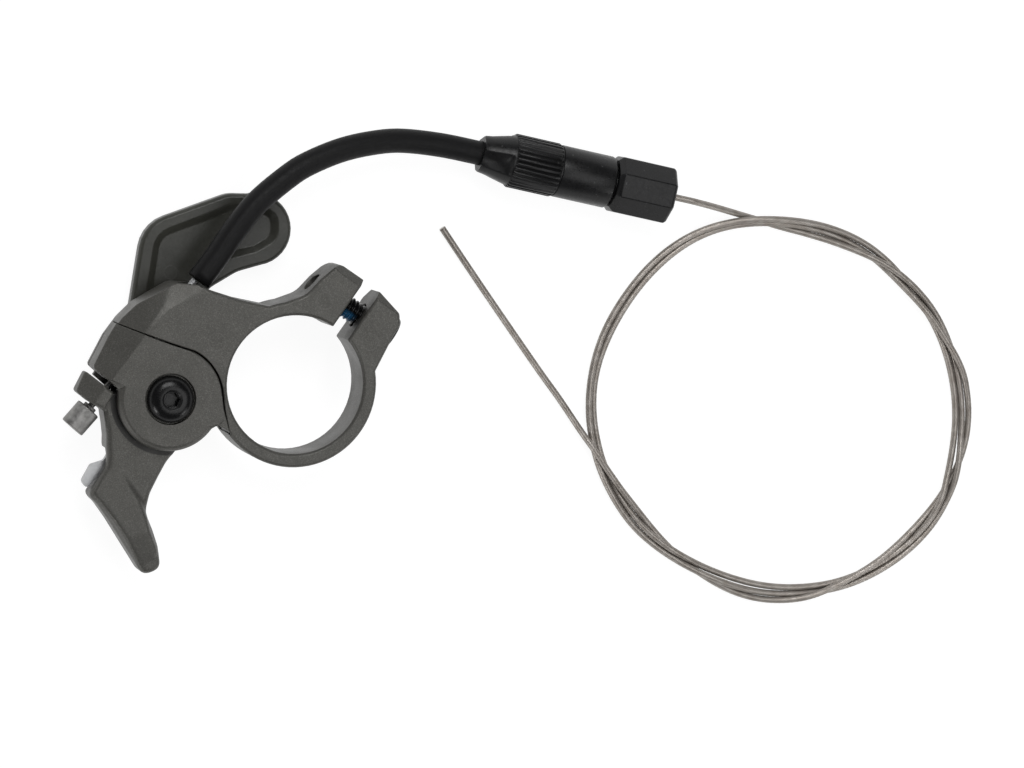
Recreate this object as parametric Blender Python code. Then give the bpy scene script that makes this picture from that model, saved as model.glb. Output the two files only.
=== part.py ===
"""Fork lockout lever with its handlebar clamp, casing, inline adjuster and coiled inner wire.

The lever lies on its back. X is right and Y is up in the plan, and +Z points from the table
through the front face. The origin is where the pivot axis meets the rear head of the sleeve.
Sizes are in millimetres, and the mesh builders turn them into metres.
"""
import math

import bmesh
import bpy
from mathutils import Matrix, Vector

MM = 0.001

# Clearances
FIT = 0.3            # running gap between neighbours, all round
BORE_FIT = 0.2       # radial gap of a bore on its pin or sleeve
SEAM = 0.25          # visible seam between cover and housing

# Handlebar clamp
BAR_R = 11.1         # 22.2 mm handlebar
BAND_WALL = 2.2
CLAMP_Y = 1.76
GAP_ANGLE = 54.0     # direction of the clamp's slit
GAP_WIDTH = 3.2
GAP_SHIFT = 1.27     # the slit's middle lies this far beside the bore's centre
LUG_REACH = 20.1     # from the bore's centre to the ends of the lugs
UPPER_LUG = 5.0      # thickness of the lug with the thread
LOWER_LUG = 5.9      # thickness of the lug with the screw head
EDGE = 0.35          # small chamfer on moulded edges
LUG_EDGE = 1.35      # large chamfer on the front of the lugs' ends
LUG_BACK = 2.0       # larger chamfer on their back
COVER_EDGE = 0.65    # softened edge of the round part of the cover

# Clamp bolt, M4
BOLT_R = 1.95
BOLT_REACH = 15.2    # from the bore's centre to the bolt's axis
BOLT_BELOW = 5.2     # how far the tip stands past the slit's near face
BOLT_HEAD_R = 3.45
BOLT_HEAD_H = 4.0
BOLT_SEAT = 3.7      # depth of the counterbore
HEX_R = 1.75

# Heights of the stack, from the rear head to the front face
SLEEVE_HEAD_H = 0.9
PADDLE_H = 3.0
WASHER_H = 0.4
REAR_WALL = 1.6
PLATE_H = 1.2
HUB_H = 2.4
COVER_H = 2.4
PADDLE_Z = SLEEVE_HEAD_H + FIT
RELEASE_WASHER_Z = PADDLE_Z + PADDLE_H + FIT
REAR_Z = RELEASE_WASHER_Z + WASHER_H + FIT
FLOOR_Z = REAR_Z + REAR_WALL
LEVER_WASHER_Z = FLOOR_Z + BORE_FIT
PLATE_Z = LEVER_WASHER_Z + WASHER_H + BORE_FIT
HUB_Z = PLATE_Z + PLATE_H + BORE_FIT
COVER_Z = HUB_Z + HUB_H + FIT
FRONT_Z = COVER_Z + COVER_H

# Pivot
SLEEVE_R = 3.1
SLEEVE_HEAD_R = 4.5
SCREW_R = 1.95
SCREW_HEAD_R = 3.75
SCREW_HEAD_H = 1.9
HEAD_SEAT = 0.8      # depth of the screw head's seat in the cover
SOCKET_R = 1.12
SOCKET_LOBE = 0.13
SOCKET_SINK = 1.6    # radius of the countersink round the star socket
SOCKET_DEPTH = 1.5

# Inner wire, which runs round the lever's hub
HUB_R = 7.55
WIRE_R = 0.55
WIRE_ANGLE = 47.5    # direction of the inner wire in the plan
WIRE_OFF = HUB_R + WIRE_R

# Housing
DISC_R = HUB_R + 0.8  # round part of the cover, over the hub
CLAMP_X = DISC_R + 0.81 + BAR_R
FLANK_V = WIRE_OFF + 4.25   # outer side of the flank, across the wire
SKIRT_V = WIRE_OFF + 1.3    # inner side of the flank's skirt
SLOT_U = -4.25       # end of the flank, along the wire
CREASE_ANGLE = 142.4
CREASE_OFF = 9.4
CREASE_FALL = 0.72
TOP_ANGLE = 118.0
TOP_OFF = 12.6
TOP_FALL = 0.4
CAVITY_TOP = FRONT_Z - 2.8
UPPER_FLOOR = FLOOR_Z - 0.6
WIRE_Z = COVER_Z - 2.0

# Casing and its socket
CASING_R = 1.98
CASING_U = 17.3
CASING_V = WIRE_OFF + 0.3
SOCKET_START = 12.4

# Lock lever
LEVER_BACK = REAR_Z + 0.4
ARM_START_R = DISC_R + 0.75
LIP = 0.65           # step of the housing's floor under the slot beside the anchor block
BLOCK_H = 2.3        # the anchor block stands this far above the arm
BLOCK_EDGE = 1.4     # thickness of its wing at the outer end
RIDGE_RISE = 0.12    # slope of the raised tail
RIDGE_BEND = 12.2    # where the tail starts to fall, along it
RIDGE_NOSE = 16.7    # where it falls off steeply
LOCK_TRAVEL = 35.0

# Cable nipple
NIPPLE_R = 2.05
NIPPLE_L = 4.0
NIPPLE_U = -9.5
NIPPLE_NECK = 0.55   # length of the neck that seats on the block

# Ratchet and pawl
RATCHET_R = HUB_R - 0.65
TOOTH_DEPTH = 0.7
TEETH = 3
TOOTH_STEP = 11.0
PAWL_X = -0.6
PAWL_Y = 10.2
PAWL_PIN_R = 0.8
PAWL_TIP_ANGLE = 128.0
PEG_R = 0.7
PEG_REACH = 12.8
PEG_ANGLE = 107.6
RELEASE_TRAVEL = 10.0

# Release lever, the black paddle
PADDLE_HUB_R = 6.4
LOBE_X = 16.1
LOBE_Y = 26.1
LOBE_R = 5.85
RIM = 2.0
POCKET_DEPTH = 0.8
POCKET_SLOPE = 1.1

# Inline adjuster
ADJ_X = 53.3
ADJ_Y = 37.95
ADJ_Z = 4.8
ADJ_ANGLE = -12.9
NECK_L = 5.2
KNURL_L = 7.9
BARREL_L = 9.5
CAP_L = 10.2
NECK_R = 3.4
KNURL_R = 4.45
KNURL_TEETH = 30
BARREL_R = 4.3
CAP_FLAT_R = 4.6     # half of the cap's width across flats
CAP_FLATS = 8
CAP_TURN = 22.0      # direction of one of the cap's edges, from the front towards +Y
TUBE_R = 2.45
TUBE_BORE = 0.95
TUBE_GRIP = 6.0      # how far the tube reaches into the cap
SPRING_WIRE = 0.5

# Coil of the inner wire
COIL_X = 106.85
COIL_Y = -6.1
COIL_RX = 32.75
COIL_RY = 31.1
COIL_HALF = 1.75
COIL_H = 2.3


def unit(angle):
    """Direction in the plan at an angle in degrees."""
    return Vector((math.cos(math.radians(angle)), math.sin(math.radians(angle))))


def polar(centre, radius, angle):
    return Vector(centre) + unit(angle) * radius


def arc(centre, radius, start, end, steps):
    """Points of an arc, both ends included."""
    return [polar(centre, radius, start + (end - start) * i / steps) for i in range(steps + 1)]


def rounded(points, radius=0.0, steps=4):
    """A closed outline from corners (x, y) or (x, y, own radius), each corner an arc."""
    out = []
    n = len(points)
    for i, p in enumerate(points):
        own = p[2] if len(p) > 2 else radius
        here = Vector(p[:2])
        to_last = Vector(points[i - 1][:2]) - here
        to_next = Vector(points[(i + 1) % n][:2]) - here
        half = to_last.angle(to_next) / 2
        if own <= 0 or half > math.radians(88):
            out.append(here)
            continue
        reach = min(own / math.tan(half), to_last.length * 0.45, to_next.length * 0.45)
        own = reach * math.tan(half)
        middle = (to_last.normalized() + to_next.normalized()).normalized()
        centre = here + middle * (own / math.sin(half))
        first = here + to_last.normalized() * reach - centre
        turn = first.angle_signed(here + to_next.normalized() * reach - centre)
        for k in range(steps + 1):
            out.append(centre + Matrix.Rotation(-turn * k / steps, 2) @ first)
    return out


def signed_area(outline):
    return sum(a[0] * b[1] - b[0] * a[1] for a, b in zip(outline, outline[1:] + outline[:1])) / 2


def inset(outline, width):
    """The outline moved inwards by one width, or by one of its own for each point."""
    out = []
    n = len(outline)
    sign = 1 if signed_area(outline) > 0 else -1
    widths = width if isinstance(width, list) else [width] * n
    for i in range(n):
        here = Vector(outline[i])
        a = (here - Vector(outline[i - 1])).normalized()
        b = (Vector(outline[(i + 1) % n]) - here).normalized()
        na = Vector((-a.y, a.x))
        nb = Vector((-b.y, b.x))
        out.append(here + (na + nb) * (sign * widths[i] / max(0.35, 1 + na.dot(nb))))
    return out


def wire_plan(u, v):
    """Plan position u along the wire and v outwards from the pivot."""
    along = unit(WIRE_ANGLE)
    return Vector((along.x * u - along.y * v, along.y * u + along.x * v))


def clamp_plan(t, s):
    """Plan position t along the clamp's slit and s across it, from the bore's centre."""
    along = unit(GAP_ANGLE)
    return Vector((CLAMP_X + along.x * t + along.y * s, CLAMP_Y + along.y * t - along.x * s))


def make_material(name, colour, roughness, metallic=0.0):
    """A Principled BSDF with the finish that the piece has in the photograph."""
    material = bpy.data.materials.new(name)
    material.use_nodes = True
    shader = material.node_tree.nodes["Principled BSDF"]
    shader.inputs["Base Color"].default_value = (*colour, 1.0)
    shader.inputs["Roughness"].default_value = roughness
    shader.inputs["Metallic"].default_value = metallic
    return material


def add_object(name, bm, material=None, smooth=None, origin=(0, 0, 0)):
    """A named object from a bmesh in millimetres, with its origin where it turns."""
    bmesh.ops.recalc_face_normals(bm, faces=bm.faces)
    bmesh.ops.translate(bm, verts=bm.verts, vec=-Vector(origin))
    bmesh.ops.scale(bm, verts=bm.verts, vec=(MM, MM, MM))
    mesh = bpy.data.meshes.new(name)
    bm.to_mesh(mesh)
    bm.free()
    obj = bpy.data.objects.new(name, mesh)
    obj.location = Vector(origin) * MM
    bpy.context.collection.objects.link(obj)
    if material:
        mesh.materials.append(material)
    if smooth:
        mesh.shade_smooth()
        mesh.set_sharp_from_angle(angle=math.radians(smooth))
    return obj


def loft(bm, rings):
    """Closed solid through rings of equal point counts, capped at both ends."""
    loops = [[bm.verts.new(p) for p in ring] for ring in rings]
    for low, high in zip(loops, loops[1:]):
        n = len(low)
        for i in range(n):
            j = (i + 1) % n
            bm.faces.new((low[i], low[j], high[j], high[i]))
    bm.faces.new(reversed(loops[0]))
    bm.faces.new(loops[-1])
    return bm


def slice_off(bm, point, normal):
    """Take away what lies past a plane and close the cut."""
    geometry = bm.verts[:] + bm.edges[:] + bm.faces[:]
    bmesh.ops.bisect_plane(bm, geom=geometry, plane_co=point, plane_no=normal, clear_outer=True)
    bmesh.ops.holes_fill(bm, edges=[edge for edge in bm.edges if edge.is_boundary])


def prism(outline, low, high, front=0.0, back=0.0, widths=None):
    """Outline extruded along Z, with chamfers on its front and back edges."""
    rings = []
    if back:
        rings.append([(*p, low) for p in inset(outline, back)])
    rings.append([(*p, low + back) for p in outline])
    rings.append([(*p, high - front) for p in outline])
    if front:
        rings.append([(*p, high) for p in inset(outline, widths or front)])
    return loft(bmesh.new(), rings)


def turned(profile, steps=48, centre=(0, 0, 0), direction=(0, 0, 1)):
    """A closed profile of (radius, height) turned about a direction through a centre."""
    bm = bmesh.new()
    frame = Vector((0, 0, 1)).rotation_difference(Vector(direction)).to_matrix()
    columns = []
    for radius, height in profile:
        if radius < 1e-6:
            columns.append([bm.verts.new(Vector(centre) + frame @ Vector((0, 0, height)))])
            continue
        columns.append([
            bm.verts.new(Vector(centre) + frame @ Vector((
                radius * math.cos(2 * math.pi * k / steps),
                radius * math.sin(2 * math.pi * k / steps),
                height,
            )))
            for k in range(steps)
        ])
    n = len(columns)
    for i in range(n):
        a, b = columns[i], columns[(i + 1) % n]
        if len(a) == 1 and len(b) == 1:
            continue
        for k in range(steps):
            j = (k + 1) % steps
            corners = [a[k % len(a)], a[j % len(a)], b[j % len(b)], b[k % len(b)]]
            face = list(dict.fromkeys(corners))
            bm.faces.new(face)
    return bm


def rod(radius, low, high, steps=32, centre=(0, 0, 0), direction=(0, 0, 1)):
    return turned([(0, low), (radius, low), (radius, high), (0, high)], steps, centre, direction)


def washer(inner, outer, low, high, steps=48, centre=(0, 0, 0), direction=(0, 0, 1)):
    profile = [(inner, low), (outer, low), (outer, high), (inner, high)]
    return turned(profile, steps, centre, direction)


def change(obj, bm, operation, name):
    """A Boolean of a hidden shape on an object."""
    tool = add_object(name, bm)
    tool.hide_render = True
    tool.display_type = "WIRE"
    modifier = obj.modifiers.new(name, "BOOLEAN")
    modifier.operation = operation
    modifier.object = tool
    modifier.solver = "EXACT"
    return tool


def cut(obj, bm, name):
    return change(obj, bm, "DIFFERENCE", obj.name + "_" + name)


def join(obj, bm, name):
    return change(obj, bm, "UNION", obj.name + "_" + name)


def tube(name, points, radius, material, ring=2):
    """A cord's plain solid: a curve with a round section and closed ends."""
    curve = bpy.data.curves.new(name, "CURVE")
    curve.dimensions = "3D"
    curve.bevel_depth = radius * MM
    curve.bevel_resolution = ring
    curve.use_fill_caps = True
    spline = curve.splines.new("POLY")
    spline.points.add(len(points) - 1)
    for target, p in zip(spline.points, points):
        target.co = (*(Vector(p) * MM), 1.0)
    obj = bpy.data.objects.new(name, curve)
    bpy.context.collection.objects.link(obj)
    curve.materials.append(material)
    return obj


def smooth_route(points, spacing):
    """Points about this far apart on a smooth curve through the route's own points."""
    route = [Vector(p) for p in points]
    route = [2 * route[0] - route[1], *route, 2 * route[-1] - route[-2]]
    fine = []
    for a, b, c, d in zip(route, route[1:], route[2:], route[3:]):
        for k in range(24):
            t = k / 24
            fine.append(0.5 * (
                2 * b + (c - a) * t
                + (2 * a - 5 * b + 4 * c - d) * t * t
                + (3 * b - a - 3 * c + d) * t ** 3
            ))
    fine.append(route[-2])
    length = sum((q - p).length for p, q in zip(fine, fine[1:]))
    count = max(2, round(length / spacing))
    out = [fine[0]]
    walked = 0.0
    for p, q in zip(fine, fine[1:]):
        step = (q - p).length
        while len(out) < count and walked + step >= length * len(out) / count:
            out.append(p.lerp(q, (length * len(out) / count - walked) / step))
        walked += step
    out.append(fine[-1])
    return out


def helix(radius, low, high, turns, steps, centre):
    """Points of a spring's wire round Z through a centre."""
    count = int(turns * steps)
    return [
        Vector((*polar(centre, radius, 360 * turns * k / count), low + (high - low) * k / count))
        for k in range(count + 1)
    ]


# Outlines in the plan

def slot_corner(radius, u):
    """Where the flank's end meets the round part."""
    return wire_plan(u, math.sqrt(radius ** 2 - u ** 2))


def clamp_outline():
    """Housing, clamp band and lugs in one outline, anticlockwise."""
    band_r = BAR_R + BAND_WALL
    centre = (CLAMP_X, CLAMP_Y)
    near = GAP_SHIFT - GAP_WIDTH / 2
    far = GAP_SHIFT + GAP_WIDTH / 2
    slot = slot_corner(DISC_R, SLOT_U)
    start = math.degrees(math.atan2(slot.y, slot.x))
    near_angle = GAP_ANGLE + math.degrees(math.asin(-near / BAR_R))
    far_angle = GAP_ANGLE - math.degrees(math.asin(far / BAR_R))
    outline = [Vector(p) for p in arc((0, 0), DISC_R, start, 323, 30)]
    outline += rounded([
        polar((0, 0), DISC_R, 323), (7.6, -4.15, 1.0), polar(centre, band_r, 209.5),
    ])[1:-1]
    outline += arc(centre, band_r, 209.5, 368, 34)
    side = far + LOWER_LUG
    lower = [
        polar(centre, band_r, 368),
        (*clamp_plan(LUG_REACH - 5.0, side), 2.0),
        (*clamp_plan(LUG_REACH - 2.6, side - 0.1), 1.2),
        (*clamp_plan(LUG_REACH - 1.1, side - 1.3), 0.8),
        clamp_plan(LUG_REACH, far),
        clamp_plan(math.sqrt(BAR_R ** 2 - far ** 2), far),
    ]
    outline += rounded(lower, 0, 3)[1:-1]
    outline += arc(centre, BAR_R, far_angle, near_angle - 360, 56)
    upper = [
        clamp_plan(math.sqrt(BAR_R ** 2 - near ** 2), near),
        clamp_plan(LUG_REACH, near),
        (*clamp_plan(LUG_REACH - 0.1, near - UPPER_LUG), 1.4),
        (*clamp_plan(LUG_REACH - 4.0, near - UPPER_LUG - 1.1), 4.0),
        (*clamp_plan(LUG_REACH - 7.4, near - UPPER_LUG - 1.6), 4.0),
        polar(centre, band_r, 97),
    ]
    outline += rounded(upper, 0, 3)[1:-1]
    outline += arc(centre, band_r, 97, 108, 4)
    flank = wire_plan(SLOT_U, FLANK_V)
    top = [
        polar(centre, band_r, 108),
        (11.6, 15.45, 4.0), (7.7, 16.75, 3.0), (4.6, 18.0, 2.5), (1.2, 18.35, 2.5),
        (-4.8, 15.05, 4.0), (-7.2, 12.8, 4.0), (-9.4, 9.95, 4.0),
        (flank.x, flank.y, 0.6), slot,
    ]
    outline += rounded(top, 0, 3)[1:-1]
    return outline


def seam_knee(gap):
    """Where the seam between cover and housing turns towards the flank."""
    return Vector((-1.6, 9.35 + gap))


def seam_end(gap):
    """Where the seam leaves the flank, narrower than elsewhere."""
    return Vector((-8.05, 12.0 + gap * 0.4))


def cover_outline(gap=0.0):
    """Round part, flank and the tongue at the clamp, anticlockwise, grown by a gap at the seam."""
    radius = DISC_R + gap
    slot = slot_corner(DISC_R, SLOT_U)
    start = math.degrees(math.atan2(slot.y, slot.x))
    flank = wire_plan(SLOT_U, FLANK_V)
    tongue = polar((CLAMP_X, CLAMP_Y), BAR_R + BAND_WALL - 0.35, 213.6)
    outline = arc((0, 0), DISC_R, start, 323, 30)
    outline += rounded([polar((0, 0), DISC_R, 323), (7.5, -4.25, 0.9), tongue])[1:-1]
    outline += rounded([
        tongue, (tongue.x - 0.1, tongue.y + 0.35), (8.5 + gap, -1.6, 4.0), polar((0, 0), radius, 5),
    ], 0, 3)[:-1]
    outline += arc((0, 0), radius, 5, 62, 12)
    outline += rounded([
        polar((0, 0), radius, 62), (0.4, 8.6 + gap, 6.0), (*seam_knee(gap), 3.0), seam_end(gap),
        (-9.4, 9.95, 4.0), (flank.x, flank.y, 0.6), slot,
    ], 0, 3)[1:-1]
    return outline


def arm_outline():
    """The lock lever's arm and hooked tail, anticlockwise."""
    return rounded([
        (3.6, -6.2), (1.2, -8.7, 3.0), (-0.2, -10.4, 3.0), (-1.5, -12.7, 3.0), (-2.85, -15.3, 3.0),
        (-3.6, -18.2, 2.5), (-2.4, -21.3, 4.0), (-1.6, -23.9, 4.0), (-1.2, -27.4, 1.3),
        (-4.1, -28.5, 1.3), (-6.2, -25.0, 6.0), (-9.5, -19.5, 6.0), (-11.4, -16.7, 3.0),
        (-12.9, -15.2, 1.2), (-9.9, -10.9, 4.0), (-9.15, -8.2, 3.0), (-9.8, -5.2, 3.0),
        (-10.2, -1.9), (-12.2, -0.2, 0.5), (-11.6, 1.9, 0.5), (-9.9, 0.9), (-6.2, 2.0), (0.0, 0.0),
    ], 0, 3)


def block_outline():
    """The cable anchor block, anticlockwise."""
    return rounded([
        (-13.1, 4.65, 0.3), (-14.7, 1.4, 0.5), (-12.4, -0.45, 1.5), (-10.5, -1.45, 0.3), (-8.9, 1.15, 0.3),
    ], 0, 3)


def ridge_outline():
    """The raised thumb tail on the arm, left of its crease."""
    return rounded([
        (-8.5, -9.6), (-6.6, -13.0, 4.0), (-4.6, -15.9, 4.0), (-3.45, -18.8, 4.0), (-2.75, -21.4, 4.0),
        (-1.95, -24.0, 4.0), (-1.6, -27.2, 1.2), (-4.1, -28.1, 1.2), (-5.85, -25.0, 6.0),
        (-9.1, -19.5, 6.0), (-11.1, -16.5, 3.0), (-12.3, -15.1, 1.0), (-9.6, -11.2, 2.0),
    ], 0, 3)


def tail_strip():
    """The ratchet plate's strip that runs behind the arm and shows beside it."""
    root = RATCHET_R - TOOTH_DEPTH - 0.5
    return rounded([
        polar((0, 0), root, 203), polar((0, 0), root, 237), (-7.6, -9.4), (-12.7, -14.5, 0.6), (-13.5, -13.2, 0.7),
        (-12.0, -10.6, 0.6), (-9.9, -10.0, 0.8), (-7.7, -6.6),
    ], 0, 3)


def strip_pocket():
    """Room for the strip in the arm's back, open past the arm's heel."""
    g = FIT
    root = RATCHET_R - TOOTH_DEPTH - 0.5
    return rounded([
        polar((-g, 0), root, 203), polar((0, -g), root, 237), (-7.6 + g, -9.4 - g), (-13.3, -15.7), (-14.8, -15.0),
        (-14.4, -12.0), (-12.0 - g, -10.6, 0.6), (-9.9 - g, -10.0 + g, 0.8), (-7.7 - g, -6.6),
    ], 0, 3)


def ratchet_outline():
    """Round plate with saw teeth on its upper left, anticlockwise."""
    outline = []
    first = PAWL_TIP_ANGLE - 8.0
    outline += arc((0, 0), RATCHET_R - TOOTH_DEPTH, -150, first - 4, 36)
    for k in range(TEETH):
        base = first + k * TOOTH_STEP
        outline.append(polar((0, 0), RATCHET_R, base))
        outline.append(polar((0, 0), RATCHET_R - 0.2, base + 2.5))
        outline.append(polar((0, 0), RATCHET_R - TOOTH_DEPTH, base + TOOTH_STEP - 0.6))
    outline += arc((0, 0), RATCHET_R - TOOTH_DEPTH, first + TEETH * TOOTH_STEP + 1, 206, 8)
    return outline


def paddle_outline():
    """Hub, neck and pad of the release lever, anticlockwise."""
    outline = arc((0, 0), PADDLE_HUB_R, 160, 368, 24)
    neck = polar((0, 0), PADDLE_HUB_R, 368)
    outline += rounded([
        neck, (5.4, 8.6, 6.0), (6.3, 14.2, 4.0), (8.6, 16.8, 4.0), (13.0, 19.3, 6.0),
        polar((LOBE_X, LOBE_Y), LOBE_R, -82),
    ], 0, 3)[1:-1]
    outline += arc((LOBE_X, LOBE_Y), LOBE_R, -82, 102, 18)
    outline += rounded([
        polar((LOBE_X, LOBE_Y), LOBE_R, 102), (11.6, 31.95, 5.0), (-2.3, 27.25, 6.2), (-4.8, 12.8, 8.0),
        polar((0, 0), PADDLE_HUB_R, 160),
    ], 0, 5)[1:-1]
    return outline


def pocket_outline():
    """The pad's recess, before its walls slope in."""
    r = LOBE_R - RIM
    return rounded([
        (4.6, 15.4, 1.2), (7.4, 18.9, 4.0), (12.0, 21.5, 4.0), (16.2, 22.4, 3.0),
        (*polar((LOBE_X, LOBE_Y), r * 1.05, -25), 3.0), (*polar((LOBE_X, LOBE_Y), r * 1.25, 40), 3.0),
        (12.6, 30.4, 4.0), (-0.4, 25.85, 4.0), (-2.1, 15.4, 1.2),
    ], 0, 4)


# Pieces

def build_clamp_body(paint):
    """Moulded housing with the clamp band, hollow under the cover and behind the upper skin."""
    body = add_object("clamp_body", prism(clamp_outline(), REAR_Z, FRONT_Z, EDGE, EDGE), paint)
    recess = cover_outline(SEAM)
    wide = [p + past_side(p) for p in recess]
    cut(body, prism(wide, FLOOR_Z, FRONT_Z + 1), "cover_recess")
    upper = rounded([
        (-7.0, 9.9), (-4.0, 5.0), (6.4, 5.0), (7.4, 8.0), (4.0, 11.6), (0.5, 14.3), (-2.6, 14.3), (-5.0, 13.0),
    ], 0.6, 3)
    cut(body, prism(upper, UPPER_FLOOR, CAVITY_TOP), "upper_pocket")
    for name, bm in slope_cutters():
        cut(body, bm, name)
    along = Vector((*unit(WIRE_ANGLE), 0))
    foot = Vector((*wire_plan(0, CASING_V), WIRE_Z))
    cut(body, rod(CASING_R + 0.5, SOCKET_START, 24, 32, foot, along), "casing_socket")
    cut(body, rod(WIRE_R + 0.75, 8.0, SOCKET_START + 1, 20, foot, along), "wire_way")
    cut(body, rod(SLEEVE_R + BORE_FIT, REAR_Z - 1, FLOOR_Z + 1, 48), "pivot_hole")
    cut(body, rod(PAWL_PIN_R + 0.1, REAR_Z - 1, FLOOR_Z + 1, 24, (PAWL_X, PAWL_Y, 0)), "pawl_pin_hole")
    cut(body, prism(peg_slot(), REAR_Z - 1, FLOOR_Z + 0.5), "peg_slot")
    cut(body, lug_chamfer(FRONT_Z, 1, LUG_EDGE), "lug_fronts")
    cut(body, lug_chamfer(REAR_Z, -1, LUG_BACK), "lug_backs")
    lip = [
        wire_plan(SLOT_U + 0.5, WIRE_OFF - 0.7), wire_plan(SLOT_U + 0.5, FLANK_V - 1.7),
        wire_plan(SLOT_U - LIP, FLANK_V - 1.7), wire_plan(SLOT_U - LIP, WIRE_OFF - 0.7),
    ]
    join(body, prism(lip, REAR_Z + EDGE, FLOOR_Z), "slot_lip")
    bolt = bolt_frame()
    cut(body, rod(1.65, -14, 0, 24, *bolt), "tapped_hole")
    cut(body, rod(BOLT_R + 0.25, -GAP_WIDTH / 2, 12, 28, *bolt), "bolt_hole")
    seat = GAP_WIDTH / 2 + LOWER_LUG - BOLT_SEAT
    cut(body, rod(BOLT_HEAD_R + 0.3, seat, 14, 36, *bolt), "head_seat")
    return body


def past_side(p):
    """How far a point of the recess moves to leave the housing on its open side."""
    slot = slot_corner(DISC_R, SLOT_U)
    along = unit(WIRE_ANGLE)
    if (p - seam_end(SEAM)).length < 0.01:
        return (seam_end(SEAM) - seam_knee(SEAM)).normalized() * 2.5
    open_side = p.dot(along) < SLOT_U + 0.01 or p.y < -3.9 and p.x < 9.2
    flank_side = p.dot(unit(WIRE_ANGLE + 90)) > FLANK_V - 0.45
    if open_side or flank_side or (p - slot).length < 0.01:
        return (p - Vector((0, 2))).normalized() * 2.0
    return Vector((0, 0))


def slope_cutters():
    """Wedges that lower the flank past its crease and the upper edge."""
    out = []
    for name, angle, off, fall in (
        ("flank_slope", CREASE_ANGLE, CREASE_OFF, CREASE_FALL),
        ("top_slope", TOP_ANGLE, TOP_OFF, TOP_FALL),
    ):
        outward = unit(angle)
        side = Vector((-outward.y, outward.x))
        rings = []
        for across in (-26.0, 26.0):
            near = outward * (off - 2.0) + side * across
            far = outward * (off + 12.0) + side * across
            rings.append([
                (*near, FRONT_Z + 2.0 * fall), (*far, FRONT_Z - 12.0 * fall), (*far, FRONT_Z + 4),
                (*near, FRONT_Z + 4),
            ])
        out.append((name, loft(bmesh.new(), rings)))
    return out


def bolt_frame():
    """A point on the bolt's axis in the middle of the slit, and the axis towards the head."""
    middle = clamp_plan(BOLT_REACH, GAP_SHIFT)
    across = clamp_plan(0, 1) - clamp_plan(0, 0)
    return Vector((*middle, (REAR_Z + FRONT_Z) / 2)), Vector((*across, 0))


def lug_chamfer(face, outward, width):
    """Wedge over the end edges of both lugs, on the front face or on the rear one."""
    rings = []
    for s in (-9, 12):
        inner = clamp_plan(LUG_REACH - width - 1.0, s)
        outer = clamp_plan(LUG_REACH + 2.0, s)
        rings.append([
            (*inner, face + outward), (*outer, face - outward * (width + 2.0)), (*outer, face + outward * 2),
            (*inner, face + outward * 2),
        ])
    return loft(bmesh.new(), rings)


def peg_slot():
    """Curved slot that the release lever's peg moves in."""
    half = PEG_R + FIT
    end = PEG_ANGLE - RELEASE_TRAVEL
    slack = math.degrees(FIT / PEG_REACH)
    outer = arc((0, 0), PEG_REACH + half, end - slack, PEG_ANGLE + slack, 8)
    inner = arc((0, 0), PEG_REACH - half, PEG_ANGLE + slack, end - slack, 8)
    tip = polar((0, 0), PEG_REACH, PEG_ANGLE + slack)
    foot = polar((0, 0), PEG_REACH, end - slack)
    left = arc(tip, half, PEG_ANGLE, PEG_ANGLE + 180, 6)[1:-1]
    right = arc(foot, half, end + 180, end + 360, 6)[1:-1]
    return outer + left + inner + right


def build_front_cover(paint):
    """Cover with the disc round the screw, the sloped flank and the flank's skirt."""
    outline = cover_outline()
    widths = [COVER_EDGE if p.length < DISC_R + 0.1 and min(p.x, p.y + 1.8) < 0 else 0.0 for p in outline]
    shell = prism(outline, FLOOR_Z + FIT, FRONT_Z, COVER_EDGE, 0, widths)
    cover = add_object("front_cover", shell, paint)
    inside = [
        wire_plan(-12, -12), wire_plan(14, -12), wire_plan(14, FLANK_V - 1.35),
        wire_plan(SLOT_U + 1.5, FLANK_V - 1.35), wire_plan(SLOT_U + 1.5, SKIRT_V), wire_plan(-12, SKIRT_V),
    ]
    cut(cover, prism(inside, FLOOR_Z - 1, COVER_Z), "inside")
    for name, bm in slope_cutters():
        if name == "flank_slope":
            cut(cover, bm, name)
    cut(cover, rod(SLEEVE_R + BORE_FIT, COVER_Z - 1, FRONT_Z + 1, 48), "screw_hole")
    cut(cover, rod(SCREW_HEAD_R + 0.3, FRONT_Z - HEAD_SEAT, FRONT_Z + 1, 48), "head_seat")
    return cover


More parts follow.
